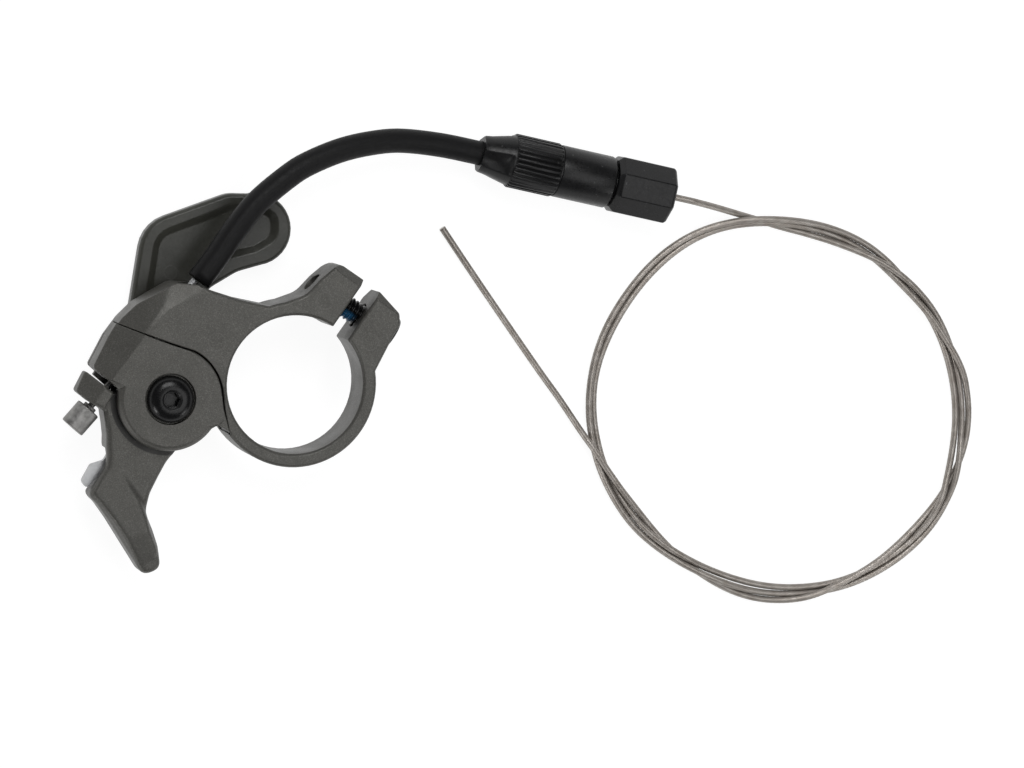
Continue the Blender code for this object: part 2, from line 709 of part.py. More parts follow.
def build_pivot(black, steel):
    """Sleeve nut from the back and domed screw from the front."""
    top = FRONT_Z - HEAD_SEAT
    sleeve = [
        (0, 0), (SLEEVE_HEAD_R - 0.3, 0), (SLEEVE_HEAD_R, 0.3), (SLEEVE_HEAD_R, SLEEVE_HEAD_H),
        (SLEEVE_R, SLEEVE_HEAD_H), (SLEEVE_R, top), (SCREW_R + 0.25, top), (SCREW_R + 0.25, 2.0), (0, 2.0),
    ]
    add_object("pivot_sleeve", turned(sleeve), steel, 35)
    seat = top + 0.3
    screw = [(0, 2.4), (SCREW_R - 0.3, 2.4), (SCREW_R, 2.7), (SCREW_R, seat), (SCREW_HEAD_R, seat)]
    for k in range(9):
        rise = math.radians(90 * k / 8)
        screw.append((
            SOCKET_R + 0.6 + (SCREW_HEAD_R - SOCKET_R - 0.6) * math.cos(rise),
            seat + 0.35 + (SCREW_HEAD_H - 0.35) * math.sin(rise),
        ))
    screw += [
        (SOCKET_SINK, seat + SCREW_HEAD_H), (SOCKET_R + SOCKET_LOBE + 0.1, seat + SCREW_HEAD_H - 0.3),
        (0, seat + SCREW_HEAD_H - 0.3),
    ]
    head = add_object("pivot_screw", turned(screw), black, 35)
    star = [
        polar((0, 0), SOCKET_R + SOCKET_LOBE * math.cos(math.radians(6 * a)), a + 4)
        for a in range(0, 360, 10)
    ]
    cut(head, prism(star, seat + SCREW_HEAD_H - SOCKET_DEPTH, seat + SCREW_HEAD_H + 1), "socket")


def build_lock_lever(paint):
    """Hub, arm with a raised tail, and the anchor block that the wire pulls on."""
    arm_top = HUB_Z + HUB_H
    lever = add_object("lock_lever", prism(arm_outline(), LEVER_BACK, arm_top, 0.5, 0.3), paint)
    cut(lever, rod(ARM_START_R, LEVER_BACK - 1, HUB_Z, 64), "hub_clearance")
    join(lever, rod(HUB_R, HUB_Z, arm_top, 64), "hub")
    join(lever, ridge(arm_top), "ridge")
    join(lever, anchor_block(arm_top + BLOCK_H), "anchor_block")
    cut(lever, prism(strip_pocket(), LEVER_BACK - 1, PLATE_Z + PLATE_H + FIT), "plate_pocket")
    cut(lever, rod(SLEEVE_R + BORE_FIT, HUB_Z - 1, arm_top + 1, 48), "pivot_hole")
    along = Vector((*unit(WIRE_ANGLE), 0))
    foot = Vector((*wire_plan(0, WIRE_OFF), WIRE_Z))
    cut(lever, rod(WIRE_R + 0.3, NIPPLE_U - 2, 2.0, 20, foot, along), "wire_hole")
    return lever


def anchor_block(top):
    """Five-cornered block whose top falls with the flank's slope and whose outer end is a thin wing."""
    outward = Vector((*unit(CREASE_ANGLE), 0))
    bm = prism(block_outline(), LEVER_BACK + 0.1, top, 0.3, 0)
    slice_off(bm, outward * CREASE_OFF + Vector((0, 0, top)), Vector((0, 0, 1)) + outward * CREASE_FALL)
    out = Vector((*unit(WIRE_ANGLE + 90), 0))
    low = out * (WIRE_OFF - 0.6) + Vector((0, 0, LEVER_BACK + 0.1))
    high = top - CREASE_FALL * 4.1 - BLOCK_EDGE
    rise = (high - LEVER_BACK - 0.1) / 6.1
    slice_off(bm, low, out * rise - Vector((0, 0, 1)))
    return bm


def ridge(arm_top):
    """The raised tail, rising towards its tip and then falling off in two steps."""
    outline = ridge_outline()
    start = Vector((-8.5, -9.6, arm_top - 0.15))
    along = Vector((5.6, -17.2, 0)).normalized()
    rings = [
        [(*p, arm_top - 1.6) for p in outline],
        [(*p, arm_top + 0.1) for p in outline],
        [(*p, arm_top + 2.1) for p in inset(outline, 0.8)],
    ]
    bm = loft(bmesh.new(), rings)
    rise = 0.0
    for run, slope in ((0.0, RIDGE_RISE), (RIDGE_BEND, -0.2), (RIDGE_NOSE, -0.9)):
        point = start + along * run
        if run == RIDGE_BEND:
            rise = RIDGE_RISE * RIDGE_BEND
        if run == RIDGE_NOSE:
            rise -= 0.2 * (RIDGE_NOSE - RIDGE_BEND)
        normal = Vector((-slope * along.x, -slope * along.y, 1))
        slice_off(bm, point + Vector((0, 0, rise)), normal)
    return bm


def build_release_lever(black):
    """Black paddle with a rimmed pad, a hub on the sleeve and the peg that lifts the pawl."""
    top = PADDLE_Z + PADDLE_H
    paddle = add_object("release_lever", prism(paddle_outline(), PADDLE_Z, top, 0.5, 0.5), black)
    pocket = pocket_outline()
    floor = inset(pocket, POCKET_SLOPE)
    rings = [
        [(*p, top - POCKET_DEPTH) for p in floor],
        [(*p, top) for p in pocket],
        [(*p, top + 1) for p in pocket],
    ]
    cut(paddle, loft(bmesh.new(), rings), "pad_recess")
    cut(paddle, rod(SLEEVE_R + BORE_FIT, PADDLE_Z - 1, top + 1, 48), "pivot_hole")
    cut(paddle, washer(SLEEVE_R + 0.9, 5.5, top - 1.9, top + 1), "spring_seat")
    peg = (*polar((0, 0), PEG_REACH, PEG_ANGLE), 0)
    join(paddle, rod(PEG_R, top - 0.5, PLATE_Z + PLATE_H, 20, peg), "peg")
    return paddle


def build_washers(steel):
    inner = SLEEVE_R + BORE_FIT
    add_object(
        "release_washer", washer(inner, PADDLE_HUB_R - 0.8, RELEASE_WASHER_Z, RELEASE_WASHER_Z + WASHER_H), steel, 35)
    add_object("lever_washer", washer(inner, HUB_R - 2.35, LEVER_WASHER_Z, LEVER_WASHER_Z + WASHER_H), steel, 35)


def build_ratchet(steel):
    """Steel plate on the lever's back: saw teeth for the pawl and a strip behind the arm."""
    plate = add_object("ratchet_plate", prism(ratchet_outline(), PLATE_Z, PLATE_Z + PLATE_H), steel)
    join(plate, prism(tail_strip(), PLATE_Z, PLATE_Z + PLATE_H), "strip")
    cut(plate, rod(SLEEVE_R + BORE_FIT, PLATE_Z - 1, PLATE_Z + PLATE_H + 1, 48), "pivot_hole")


def build_pawl(steel):
    """Pawl, the pin that it turns on and its spring."""
    tip = polar((0, 0), RATCHET_R + FIT, PAWL_TIP_ANGLE)
    pivot = Vector((PAWL_X, PAWL_Y))
    reach = (tip - pivot).normalized()
    side = Vector((-reach.y, reach.x))
    tail = pivot + Vector((0.5, 2.6))
    outline = rounded([
        (*(tip + side * 0.1), 0.15), (*(tip - side * 1.1), 0.5), (*(pivot - side * 1.7), 1.2),
        (*(tail + Vector((-0.4, 0.5))), 0.4), (*(tail + Vector((0.7, 0.5))), 0.4),
        (*(pivot + side * 1.7), 1.2), (*(tip + side * 0.7 - reach * 1.4), 0.6),
    ], 0.3, 3)
    origin = (PAWL_X, PAWL_Y, PLATE_Z)
    pawl = add_object("pawl", prism(outline, PLATE_Z, PLATE_Z + PLATE_H), steel, None, origin)
    cut(pawl, rod(PAWL_PIN_R + BORE_FIT, PLATE_Z - 1, PLATE_Z + PLATE_H + 1, 24, (*pivot, 0)), "pin_hole")
    pin = [
        (0, REAR_Z + 0.1), (PAWL_PIN_R, REAR_Z + 0.1), (PAWL_PIN_R, PLATE_Z + PLATE_H),
        (0, PLATE_Z + PLATE_H),
    ]
    add_object("pawl_pin", turned(pin, 24, (PAWL_X, PAWL_Y, 0)), steel, 35)
    wire = 0.15
    points = helix(1.5, UPPER_FLOOR + wire + 0.2, PLATE_Z - wire - FIT, 1.5, 16, pivot)
    tube("pawl_spring", points, wire, steel, 1)


def build_release_spring(steel):
    """Torsion spring in the paddle's hub that brings the paddle back."""
    top = PADDLE_Z + PADDLE_H
    points = helix(4.75, top - 1.9 + 0.25 + 0.2, top - 0.25, 1.9, 20, (0, 0))
    tube("release_spring", points, 0.25, steel, 1)


def build_clamp_bolt(black):
    """M4 socket cap screw that draws the lugs together."""
    centre, axis = bolt_frame()
    seat = GAP_WIDTH / 2 + LOWER_LUG - BOLT_SEAT + 0.15
    tip = -GAP_WIDTH / 2 - BOLT_BELOW
    entry = -GAP_WIDTH / 2 + 0.05
    profile = [
        (0, tip), (1.0, tip), (1.4, tip + 0.4), (1.4, entry), (BOLT_R, entry + 0.3), (BOLT_R, seat),
        (BOLT_HEAD_R, seat), (BOLT_HEAD_R, seat + BOLT_HEAD_H - 0.3),
        (BOLT_HEAD_R - 0.3, seat + BOLT_HEAD_H), (0, seat + BOLT_HEAD_H),
    ]
    bolt = add_object("clamp_bolt", turned(profile, 36, centre, axis), black, 35)
    hexagon = rod(HEX_R, seat + BOLT_HEAD_H - 2.0, seat + BOLT_HEAD_H + 1, 6, centre, axis)
    cut(bolt, hexagon, "hex_socket")


def build_wire_in_lever(bright):
    """Nipple, the wire end that moves with the lever and the lead that stays in the housing."""
    along = Vector((*unit(WIRE_ANGLE), 0))
    foot = Vector((*wire_plan(0, WIRE_OFF), WIRE_Z))
    low = NIPPLE_U - NIPPLE_L
    nipple = [
        (0, low), (NIPPLE_R - 0.12, low), (NIPPLE_R, low + 0.12), (NIPPLE_R, NIPPLE_U - 0.12),
        (NIPPLE_R - 0.12, NIPPLE_U), (WIRE_R * 2, NIPPLE_U), (WIRE_R * 2, NIPPLE_U + NIPPLE_NECK),
        (0, NIPPLE_U + NIPPLE_NECK),
    ]
    add_object("cable_nipple", turned(nipple, 36, foot, along), bright, 35)
    end = rod(WIRE_R, NIPPLE_U + NIPPLE_NECK, -FIT / 2, 14, foot, along)
    add_object("inner_wire_end", end, bright, 35)
    route = [
        (*wire_plan(FIT / 2, WIRE_OFF), WIRE_Z),
        (*wire_plan(4.5, WIRE_OFF + 0.15), WIRE_Z),
        (*wire_plan(9.0, CASING_V + 0.1), WIRE_Z),
        (*wire_plan(13.0, CASING_V + 0.35), WIRE_Z),
        (*wire_plan(CASING_U - FIT, CASING_V + 0.5), WIRE_Z),
    ]
    tube("inner_wire_lead", smooth_route(route, 2.4), WIRE_R, bright)


def adjuster_point(s):
    """A point on the adjuster's axis, s along it from the neck's mouth."""
    along = unit(ADJ_ANGLE)
    return Vector((ADJ_X + along.x * s, ADJ_Y + along.y * s, ADJ_Z))


def build_casing(black):
    """Outer casing from the housing's socket to the adjuster's neck."""
    start = wire_plan(CASING_U, CASING_V)
    route = [
        (start.x, start.y, WIRE_Z), (8.55, 22.3, WIRE_Z - 0.1), (11.5, 26.4, 9.45), (15.3, 30.8, 9.2),
        (20.7, 35.0, 8.7), (24.1, 36.9, 8.3), (29.2, 38.8, 7.7), (34.3, 39.85, 7.0), (39.5, 40.2, 6.2),
        (46.4, 39.4, 5.3),
        (*adjuster_point(0),), (*adjuster_point(NECK_L - 0.4),),
    ]
    tube("outer_casing", smooth_route(route, 6.5), CASING_R, black, 3)


def build_adjuster(black, steel):
    """Knurled barrel on a threaded tube, end cap and the spring between them."""
    along = Vector((*unit(ADJ_ANGLE), 0))
    mouth = adjuster_point(0)
    knurl_end = NECK_L + KNURL_L
    barrel_end = knurl_end + BARREL_L
    body_r = KNURL_R - 0.35
    spring_room = 14.5
    barrel = [
        (0, 0), (NECK_R, 0), (NECK_R + 0.1, 1.6), (NECK_R + 0.4, 3.4), (body_r, NECK_L - 0.1),
        (body_r, knurl_end), (BARREL_R, knurl_end + 0.15), (BARREL_R, barrel_end - 0.4),
        (BARREL_R - 0.4, barrel_end), (0, barrel_end),
    ]
    bore = [
        (0, -1), (CASING_R + FIT, -1), (CASING_R + FIT, NECK_L), (TUBE_BORE, NECK_L),
        (TUBE_BORE, NECK_L + 2.0), (TUBE_R + FIT, NECK_L + 2.0), (TUBE_R + FIT, spring_room),
        (TUBE_R + 1.15, spring_room), (TUBE_R + 1.15, barrel_end + 1), (0, barrel_end + 1),
    ]
    obj = add_object("adjuster_barrel", turned(barrel, 48, mouth, along), black, 35, mouth)
    join(obj, knurl_ring(mouth, along), "knurl")
    cut(obj, turned(bore, 40, mouth, along), "bore")
    for k in range(6):
        cut(obj, neck_flute(mouth, along, 60 * k + 30), f"flute_{k}")
    start = barrel_end + FIT
    cap = add_object("adjuster_cap", cap_solid(mouth, along, start), black, None, mouth)
    cut(cap, rod(TUBE_BORE, start - 1, start + CAP_L + 1, 24, mouth, along), "wire_hole")
    cut(cap, rod(TUBE_R + BORE_FIT, start - 1, start + TUBE_GRIP + FIT, 40, mouth, along), "tube_hole")
    tube_low = NECK_L + 2.0 + FIT
    pipe = washer(TUBE_BORE, TUBE_R, tube_low, start + TUBE_GRIP, 40, mouth, along)
    add_object("adjuster_tube", pipe, steel, 35, mouth)
    points = []
    turns = 7
    low = spring_room + 0.3 + SPRING_WIRE / 2
    high = barrel_end + FIT - 0.3 - SPRING_WIRE / 2
    frame = Vector((0, 0, 1)).rotation_difference(along).to_matrix()
    for k in range(turns * 12 + 1):
        angle = 2 * math.pi * k / 12
        radius = TUBE_R + 0.3 + SPRING_WIRE / 2
        local = Vector((
            radius * math.cos(angle), radius * math.sin(angle), low + (high - low) * k / (turns * 12)))
        points.append(mouth + frame @ local)
    tube("adjuster_spring", points, SPRING_WIRE / 2, steel, 1)


def knurl_ring(mouth, along):
    """Straight knurl as a toothed ring round the barrel."""
    frame = Vector((0, 0, 1)).rotation_difference(along).to_matrix()
    rings = []
    for s, lift in ((NECK_L, -0.35), (NECK_L + 0.35, 0), (NECK_L + KNURL_L - 0.3, 0), (NECK_L + KNURL_L, -0.3)):
        ring = []
        for k in range(KNURL_TEETH * 2):
            radius = KNURL_R + lift * 0.6 - (0.26 if k % 2 else 0)
            angle = math.pi * k / KNURL_TEETH
            ring.append(mouth + frame @ Vector((radius * math.cos(angle), radius * math.sin(angle), s)))
        rings.append(ring)
    bm = loft(bmesh.new(), rings)
    return bm


def neck_flute(mouth, along, angle):
    """Round-bottomed cutter for one flute of the neck."""
    frame = Vector((0, 0, 1)).rotation_difference(along).to_matrix()
    side = frame @ Vector((math.cos(math.radians(angle)), math.sin(math.radians(angle)), 0))
    centre = mouth + side * (NECK_R + 1.35)
    direction = (along + side * 0.12).normalized()
    return rod(1.55, -1.0, NECK_L - 0.6, 20, centre, direction)


def cap_solid(mouth, along, start):
    """Faceted cap with turned chamfers at both ends."""
    corner = CAP_FLAT_R / math.cos(math.pi / CAP_FLATS)
    across = Vector((0, 0, 1)).cross(along)
    rings = []
    for s, shrink in ((0, 0.75), (0.75, 0), (CAP_L - 0.45, 0), (CAP_L, 0.45)):
        ring = []
        for k in range(CAP_FLATS):
            angle = math.radians(CAP_TURN) + 2 * math.pi * k / CAP_FLATS
            side = Vector((0, 0, 1)) * math.cos(angle) + across * math.sin(angle)
            ring.append(mouth + along * (start + s) + side * (corner - shrink))
        rings.append(ring)
    return loft(bmesh.new(), rings)


def build_free_wire(bright):
    """Bare inner wire past the adjuster: a run to the coil, the coil and the straight tail."""
    end = NECK_L + KNURL_L + BARREL_L + FIT + CAP_L + FIT
    run = [
        adjuster_point(end), adjuster_point(end + 2.5), adjuster_point(end + 5.0),
        Vector((94.6, 28.15, 3.2)), Vector((98.4, 27.1, 2.2)),
    ]
    tube("inner_wire_run", smooth_route(run, 2.6), WIRE_R, bright)
    coil = bmesh.new()
    steps = 64
    half = COIL_HALF
    section = [
        (-half, 0.4), (-half + 0.4, 0.0), (half - 0.4, 0.0), (half, 0.4), (half, COIL_H - 0.4),
        (half - 0.4, COIL_H), (-half + 0.4, COIL_H), (-half, COIL_H - 0.4),
    ]
    rings = []
    for k in range(steps):
        turn = unit(360 * k / steps)
        rings.append([
            coil.verts.new((COIL_X + (COIL_RX + d) * turn.x, COIL_Y + (COIL_RY + d) * turn.y, z))
            for d, z in section
        ])
    for k in range(steps):
        a, b = rings[k], rings[(k + 1) % steps]
        for i in range(len(section)):
            j = (i + 1) % len(section)
            coil.faces.new((a[i], a[j], b[j], b[i]))
    add_object("inner_wire_coil", coil, bright, 50)
    tail = [
        Vector((71.1, -7.3, 1.3)), Vector((68.0, -3.05, 0.9)), Vector((64.5, 1.75, 0.62)),
        Vector((57.65, 11.5, 0.6)), Vector((52.4, 19.1, 0.6)), Vector((48.0, 25.6, 0.6)),
    ]
    tube("inner_wire_tail", smooth_route(tail, 3.0), WIRE_R, bright)


def build():
    for obj in list(bpy.data.objects):
        bpy.data.objects.remove(obj)
    grey = make_material("moulded_grey", (0.105, 0.1, 0.095), 0.48, 0.25)
    black = make_material("moulded_black", (0.02, 0.02, 0.021), 0.45)
    dark = make_material("black_oxide", (0.016, 0.016, 0.018), 0.3, 0.6)
    steel = make_material("zinc_steel", (0.55, 0.56, 0.57), 0.35, 0.9)
    bright = make_material("stranded_steel", (0.42, 0.4, 0.38), 0.35, 0.9)
    build_clamp_body(grey)
    build_front_cover(grey)
    build_pivot(dark, steel)
    build_lock_lever(grey)
    build_release_lever(black)
    build_washers(steel)
    build_ratchet(steel)
    build_pawl(steel)
    build_release_spring(steel)
    build_clamp_bolt(dark)
    build_wire_in_lever(bright)
    build_casing(black)
    build_adjuster(black, steel)
    build_free_wire(bright)


build()
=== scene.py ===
"""Looks of the fork lockout lever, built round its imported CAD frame."""
import math

import bmesh
import bpy
import numpy as np
from mathutils import Matrix, Vector


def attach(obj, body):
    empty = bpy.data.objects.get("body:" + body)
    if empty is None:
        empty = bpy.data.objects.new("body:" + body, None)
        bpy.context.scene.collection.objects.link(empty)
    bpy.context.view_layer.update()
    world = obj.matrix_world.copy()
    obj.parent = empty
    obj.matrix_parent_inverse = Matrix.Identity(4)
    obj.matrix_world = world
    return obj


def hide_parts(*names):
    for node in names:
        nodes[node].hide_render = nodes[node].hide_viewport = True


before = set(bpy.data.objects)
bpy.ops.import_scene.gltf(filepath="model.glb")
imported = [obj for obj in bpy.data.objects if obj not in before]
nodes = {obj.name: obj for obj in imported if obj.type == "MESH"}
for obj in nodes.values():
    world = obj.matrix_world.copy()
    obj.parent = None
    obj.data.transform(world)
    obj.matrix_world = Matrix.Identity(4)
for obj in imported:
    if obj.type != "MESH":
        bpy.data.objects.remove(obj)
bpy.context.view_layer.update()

MM = 0.001
UP = Vector((0, 0, 1))
WELD = 1e-6             # metres between vertices that are one
FLAT_ANGLE = 0.5        # degrees, under which faces are one plane
CREASE_ANGLE = 7        # degrees from which a chosen crease is rounded
EDGE_ANGLE = 28         # degrees from which every edge is rounded
SMOOTH_ANGLE = 50       # degrees under which an edge is shaded smooth
SPLINE_STEPS = 16       # between two points of a route


# Camera

def make_camera():
    """Camera at the photograph's place: above the lever's left, looking down and to the right."""
    data = bpy.data.cameras.new("camera")
    data.sensor_width = 36.0
    data.lens = 144.12
    data.clip_start = 0.01
    data.clip_end = 5.0
    camera = bpy.data.objects.new("camera", data)
    camera.location = Vector((-122.6, 65.7, 650.0)) * MM
    look = Vector((0.281, -0.1018, -1.0)).normalized()
    right = look.cross(Vector((0, 1, 0))).normalized()
    up = right.cross(look)
    turn = Matrix((right, up, -look)).transposed()
    camera.rotation_mode = "QUATERNION"
    camera.rotation_quaternion = turn.to_quaternion()
    bpy.context.scene.collection.objects.link(camera)
    bpy.context.scene.camera = camera


make_camera()


# Shape helpers

def spline_through(points, spacing):
    """Points this far apart on a smooth curve through a route."""
    route = [Vector(p) for p in points]
    route = [2 * route[0] - route[1], *route, 2 * route[-1] - route[-2]]
    fine = []
    for a, b, c, d in zip(route, route[1:], route[2:], route[3:]):
        for k in range(SPLINE_STEPS):
            t = k / SPLINE_STEPS
            fine.append(0.5 * (
                2 * b + (c - a) * t
                + (2 * a - 5 * b + 4 * c - d) * t * t
                + (3 * b - a - 3 * c + d) * t ** 3
            ))
    fine.append(route[-2])
    return resample(fine, spacing)


def resample(fine, spacing):
    """The same line with its points evenly apart."""
    co = np.array([tuple(p) for p in fine])
    run = np.r_[0, np.cumsum(np.linalg.norm(np.diff(co, axis=0), axis=1))]
    count = max(2, int(round(run[-1] / spacing)) + 1)
    at = np.linspace(0, run[-1], count)
    return [Vector(p) for p in np.c_[[np.interp(at, run, co[:, i]) for i in range(3)]].T]


def sweep(name, points, section, twist=0.0):
    """A tube along points with a section of (radius, angle) pairs, turning by twist per mm."""
    bm = bmesh.new()
    n = len(points)
    tangents = [(points[min(i + 1, n - 1)] - points[max(i - 1, 0)]).normalized() for i in range(n)]
    side = tangents[0].orthogonal().normalized()
    rings = []
    run = 0.0
    for i in range(n):
        if i:
            run += (points[i] - points[i - 1]).length
            side = (side - tangents[i] * side.dot(tangents[i])).normalized()
        other = tangents[i].cross(side)
        ring = []
        for radius, angle in section:
            a = angle + twist * run
            ring.append(bm.verts.new((points[i] + (side * math.cos(a) + other * math.sin(a)) * radius) * MM))
        rings.append((ring, run))
    uv = bm.loops.layers.uv.new("UVMap")
    m = len(section)
    for (low, u0), (high, u1) in zip(rings, rings[1:]):
        for k in range(m):
            j = (k + 1) % m
            face = bm.faces.new((low[k], low[j], high[j], high[k]))
            face.smooth = True
            for loop, u, v in zip(face.loops, (u0, u0, u1, u1), (k, k + 1, k + 1, k)):
                loop[uv].uv = (u, v / m)
    bm.faces.new(reversed(rings[0][0]))
    bm.faces.new(rings[-1][0])
    bmesh.ops.recalc_face_normals(bm, faces=bm.faces)
    return finish_mesh(name, bm)


def finish_mesh(name, bm):
    """An object in the scene from a bmesh, which is freed."""
    mesh = bpy.data.meshes.new(name)
    bm.to_mesh(mesh)
    bm.free()
    obj = bpy.data.objects.new(name, mesh)
    bpy.context.scene.collection.objects.link(obj)
    return obj


def stand_in(obj, body, slot, *names):
    """Puts an object in the place of CAD nodes, on their body. The material slot is not used."""
    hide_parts(*names)
    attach(obj, body)
    return obj


def welded_form(name):
    """A bmesh of a CAD node's form, with its loose triangles joined."""
    bm = bmesh.new()
    bm.from_mesh(nodes[name].data)
    bmesh.ops.remove_doubles(bm, verts=bm.verts, dist=WELD)
    return bm


def steeper(edge, degrees):
    """True for an edge whose two faces meet at more than an angle."""
    return len(edge.link_faces) == 2 and edge.calc_face_angle() > math.radians(degrees)


def shade_smooth(bm, degrees=SMOOTH_ANGLE):
    """Smooth shading across every edge under an angle."""
    for face in bm.faces:
        face.smooth = True
    for edge in bm.edges:
        edge.smooth = len(edge.link_faces) == 2 and edge.calc_face_angle() < math.radians(degrees)


def round_edges(bm, edges, width, segments):
    """Bevels the edges by a width in millimetres."""
    if edges:
        bmesh.ops.bevel(
            bm, geom=edges, offset=width * MM, offset_type="OFFSET", segments=segments, profile=0.5,
            affect="EDGES", clamp_overlap=False,
        )


def lathe(rows, steps, centre, axis, closed=False):
    """A bmesh turned about an axis from rows of a place along it and a radius for each angle.

    It ends in flat faces, or joins its last row to its first one.
    """
    across = UP.cross(axis)
    bm = bmesh.new()
    rings = []
    for s, radius in rows:
        ring = []
        for k in range(steps):
            a = 2 * math.pi * k / steps
            spot = centre + axis * s + (across * math.cos(a) + UP * math.sin(a)) * radius(a)
            ring.append(bm.verts.new(spot * MM))
        rings.append(ring)
    for low, high in zip(rings, rings[1:] + rings[:1] if closed else rings[1:]):
        for k in range(steps):
            j = (k + 1) % steps
            bm.faces.new((low[k], low[j], high[j], high[k]))
    if not closed:
        bm.faces.new(reversed(rings[0]))
        bm.faces.new(rings[-1])
    bmesh.ops.recalc_face_normals(bm, faces=bm.faces)
    return bm


def plain(radius):
    """The same radius at every angle."""
    return lambda a: radius


def soften(name, body, slot, width, creases=()):
    """The form of a CAD node with its edges rounded, in that node's place.

    Each crease is (test of an edge's ends in millimetres, width) for edges with a softer rounding.
    """
    bm = welded_form(name)
    bmesh.ops.dissolve_limit(bm, angle_limit=math.radians(FLAT_ANGLE), verts=bm.verts, edges=bm.edges)
    for test, crease_width in creases:
        line = [e for e in bm.edges if steeper(e, CREASE_ANGLE) and test(*(v.co / MM for v in e.verts))]
        round_edges(bm, line, crease_width, segments=4)
    round_edges(bm, [e for e in bm.edges if steeper(e, EDGE_ANGLE)], width, segments=2)
    shade_smooth(bm)
    obj = finish_mesh(name + "_form", bm)
    weighted = obj.modifiers.new("weighted", "WEIGHTED_NORMAL")
    weighted.keep_sharp = True
    return stand_in(obj, body, slot, name)


# Cords, in millimetres

WIRE_R = 0.55
STRANDS = 12
STRAND_LAY = 9.0        # length in which a strand goes once round the wire
TURN_GAP = 0.02         # clearance that two turns are pushed to
CASING_R = 1.98
CASING_SIDES = 36
CASING_SEAT = 4.8       # how far the casing goes into the adjuster's neck
ADJUSTER_MOUTH = Vector((53.3, 37.95, 4.8))
ADJUSTER_ANGLE = math.radians(-12.9)
COIL_X = 106.85
COIL_Y = -6.1
COIL_RX = 32.75
COIL_RY = 31.1


def adjuster_point(s):
    """A point on the adjuster's axis, s along it from the neck's mouth."""
    along = Vector((math.cos(ADJUSTER_ANGLE), math.sin(ADJUSTER_ANGLE), 0))
    return ADJUSTER_MOUTH + along * s


def make_casing():
    """Outer casing, from the housing's socket to its seat in the adjuster, whose pieces are given."""
    route = [
        (5.5, 18.43, 9.7), (8.55, 22.3, 9.6), (11.5, 26.4, 9.45), (15.3, 30.8, 9.2), (20.7, 35.0, 8.7),
        (24.1, 36.9, 8.3), (29.2, 38.8, 7.7), (34.3, 39.85, 7.0), (39.5, 40.2, 6.2), (46.4, 39.4, 5.3),
        adjuster_point(0), adjuster_point(CASING_SEAT),
    ]
    points = spline_through(route, 1.2)
    section = [(CASING_R, 2 * math.pi * k / CASING_SIDES) for k in range(CASING_SIDES)]
    casing = sweep("casing", points, section)
    stand_in(casing, "housing", "moulded_black", "outer_casing")
    return casing


# The coil, clockwise in three passes: angle in degrees, distance outside the mean ring and height.
PASS_1 = (
    (88, -0.40, 0.60), (80, -1.15, 0.80), (71, -1.61, 1.20), (64, -1.62, 1.65), (57, -1.38, 1.75),
    (51, -0.99, 1.75), (41, -1.07, 1.20), (34, -0.69, 0.70), (26, -0.56, 0.55), (11, -0.30, 0.55),
    (4, -0.12, 0.55), (-3, 0.14, 0.55), (-9, 0.28, 0.80), (-14, 0.39, 1.40), (-18, 0.71, 1.65),
    (-23, 1.18, 1.60), (-26, 1.47, 1.20), (-31, 2.11, 0.70), (-36, 2.31, 0.55), (-50, 1.91, 0.55),
    (-59, 1.49, 0.55), (-68, 1.13, 0.55), (-80, 0.45, 0.55), (-97, -0.07, 0.60), (-104, -0.45, 0.90),
    (-110, -0.76, 1.30), (-116, -0.96, 1.65), (-126, -0.91, 1.60), (-132, -0.76, 1.30),
    (-140, -0.37, 0.90), (-156, 0.05, 0.90), (-164, 0.40, 1.20), (-173, 0.67, 1.50),
)
PASS_2 = (
    (-185, 1.22, 1.54), (-199, 1.59, 1.55), (-214, 1.64, 1.65), (-225, 1.97, 1.65), (-234, 2.33, 1.65),
    (-243, 2.55, 1.80), (-251, 2.25, 2.40), (-258, 1.81, 2.75), (-266, 1.19, 2.70), (-274, 0.84, 2.30),
    (-282, 0.55, 1.70), (-289, 0.29, 1.10), (-296, -0.03, 0.60), (-305, -0.50, 0.55),
    (-311, -0.94, 0.55), (-318, -1.61, 0.55), (-330, -1.40, 0.55), (-346, -1.49, 0.55),
    (-354, -1.35, 0.55), (-363, -1.08, 0.55), (-370, -0.82, 0.60), (-376, -0.56, 1.10),
    (-381, -0.34, 1.60), (-386, 0.11, 1.65), (-391, 0.68, 1.10), (-396, 0.86, 0.60),
    (-411, 0.63, 0.55), (-427, 0.46, 0.55), (-435, 0.22, 0.55), (-443, -0.44, 0.55),
    (-452, -1.02, 0.55), (-461, -1.61, 0.60), (-471, -2.06, 1.20), (-480, -2.04, 1.65),
    (-488, -1.87, 1.65), (-494, -1.67, 1.10), (-502, -1.45, 0.60), (-510, -1.27, 0.55),
    (-520, -0.78, 0.55), (-528, -0.29, 0.55), (-540, 0.11, 0.55),
)
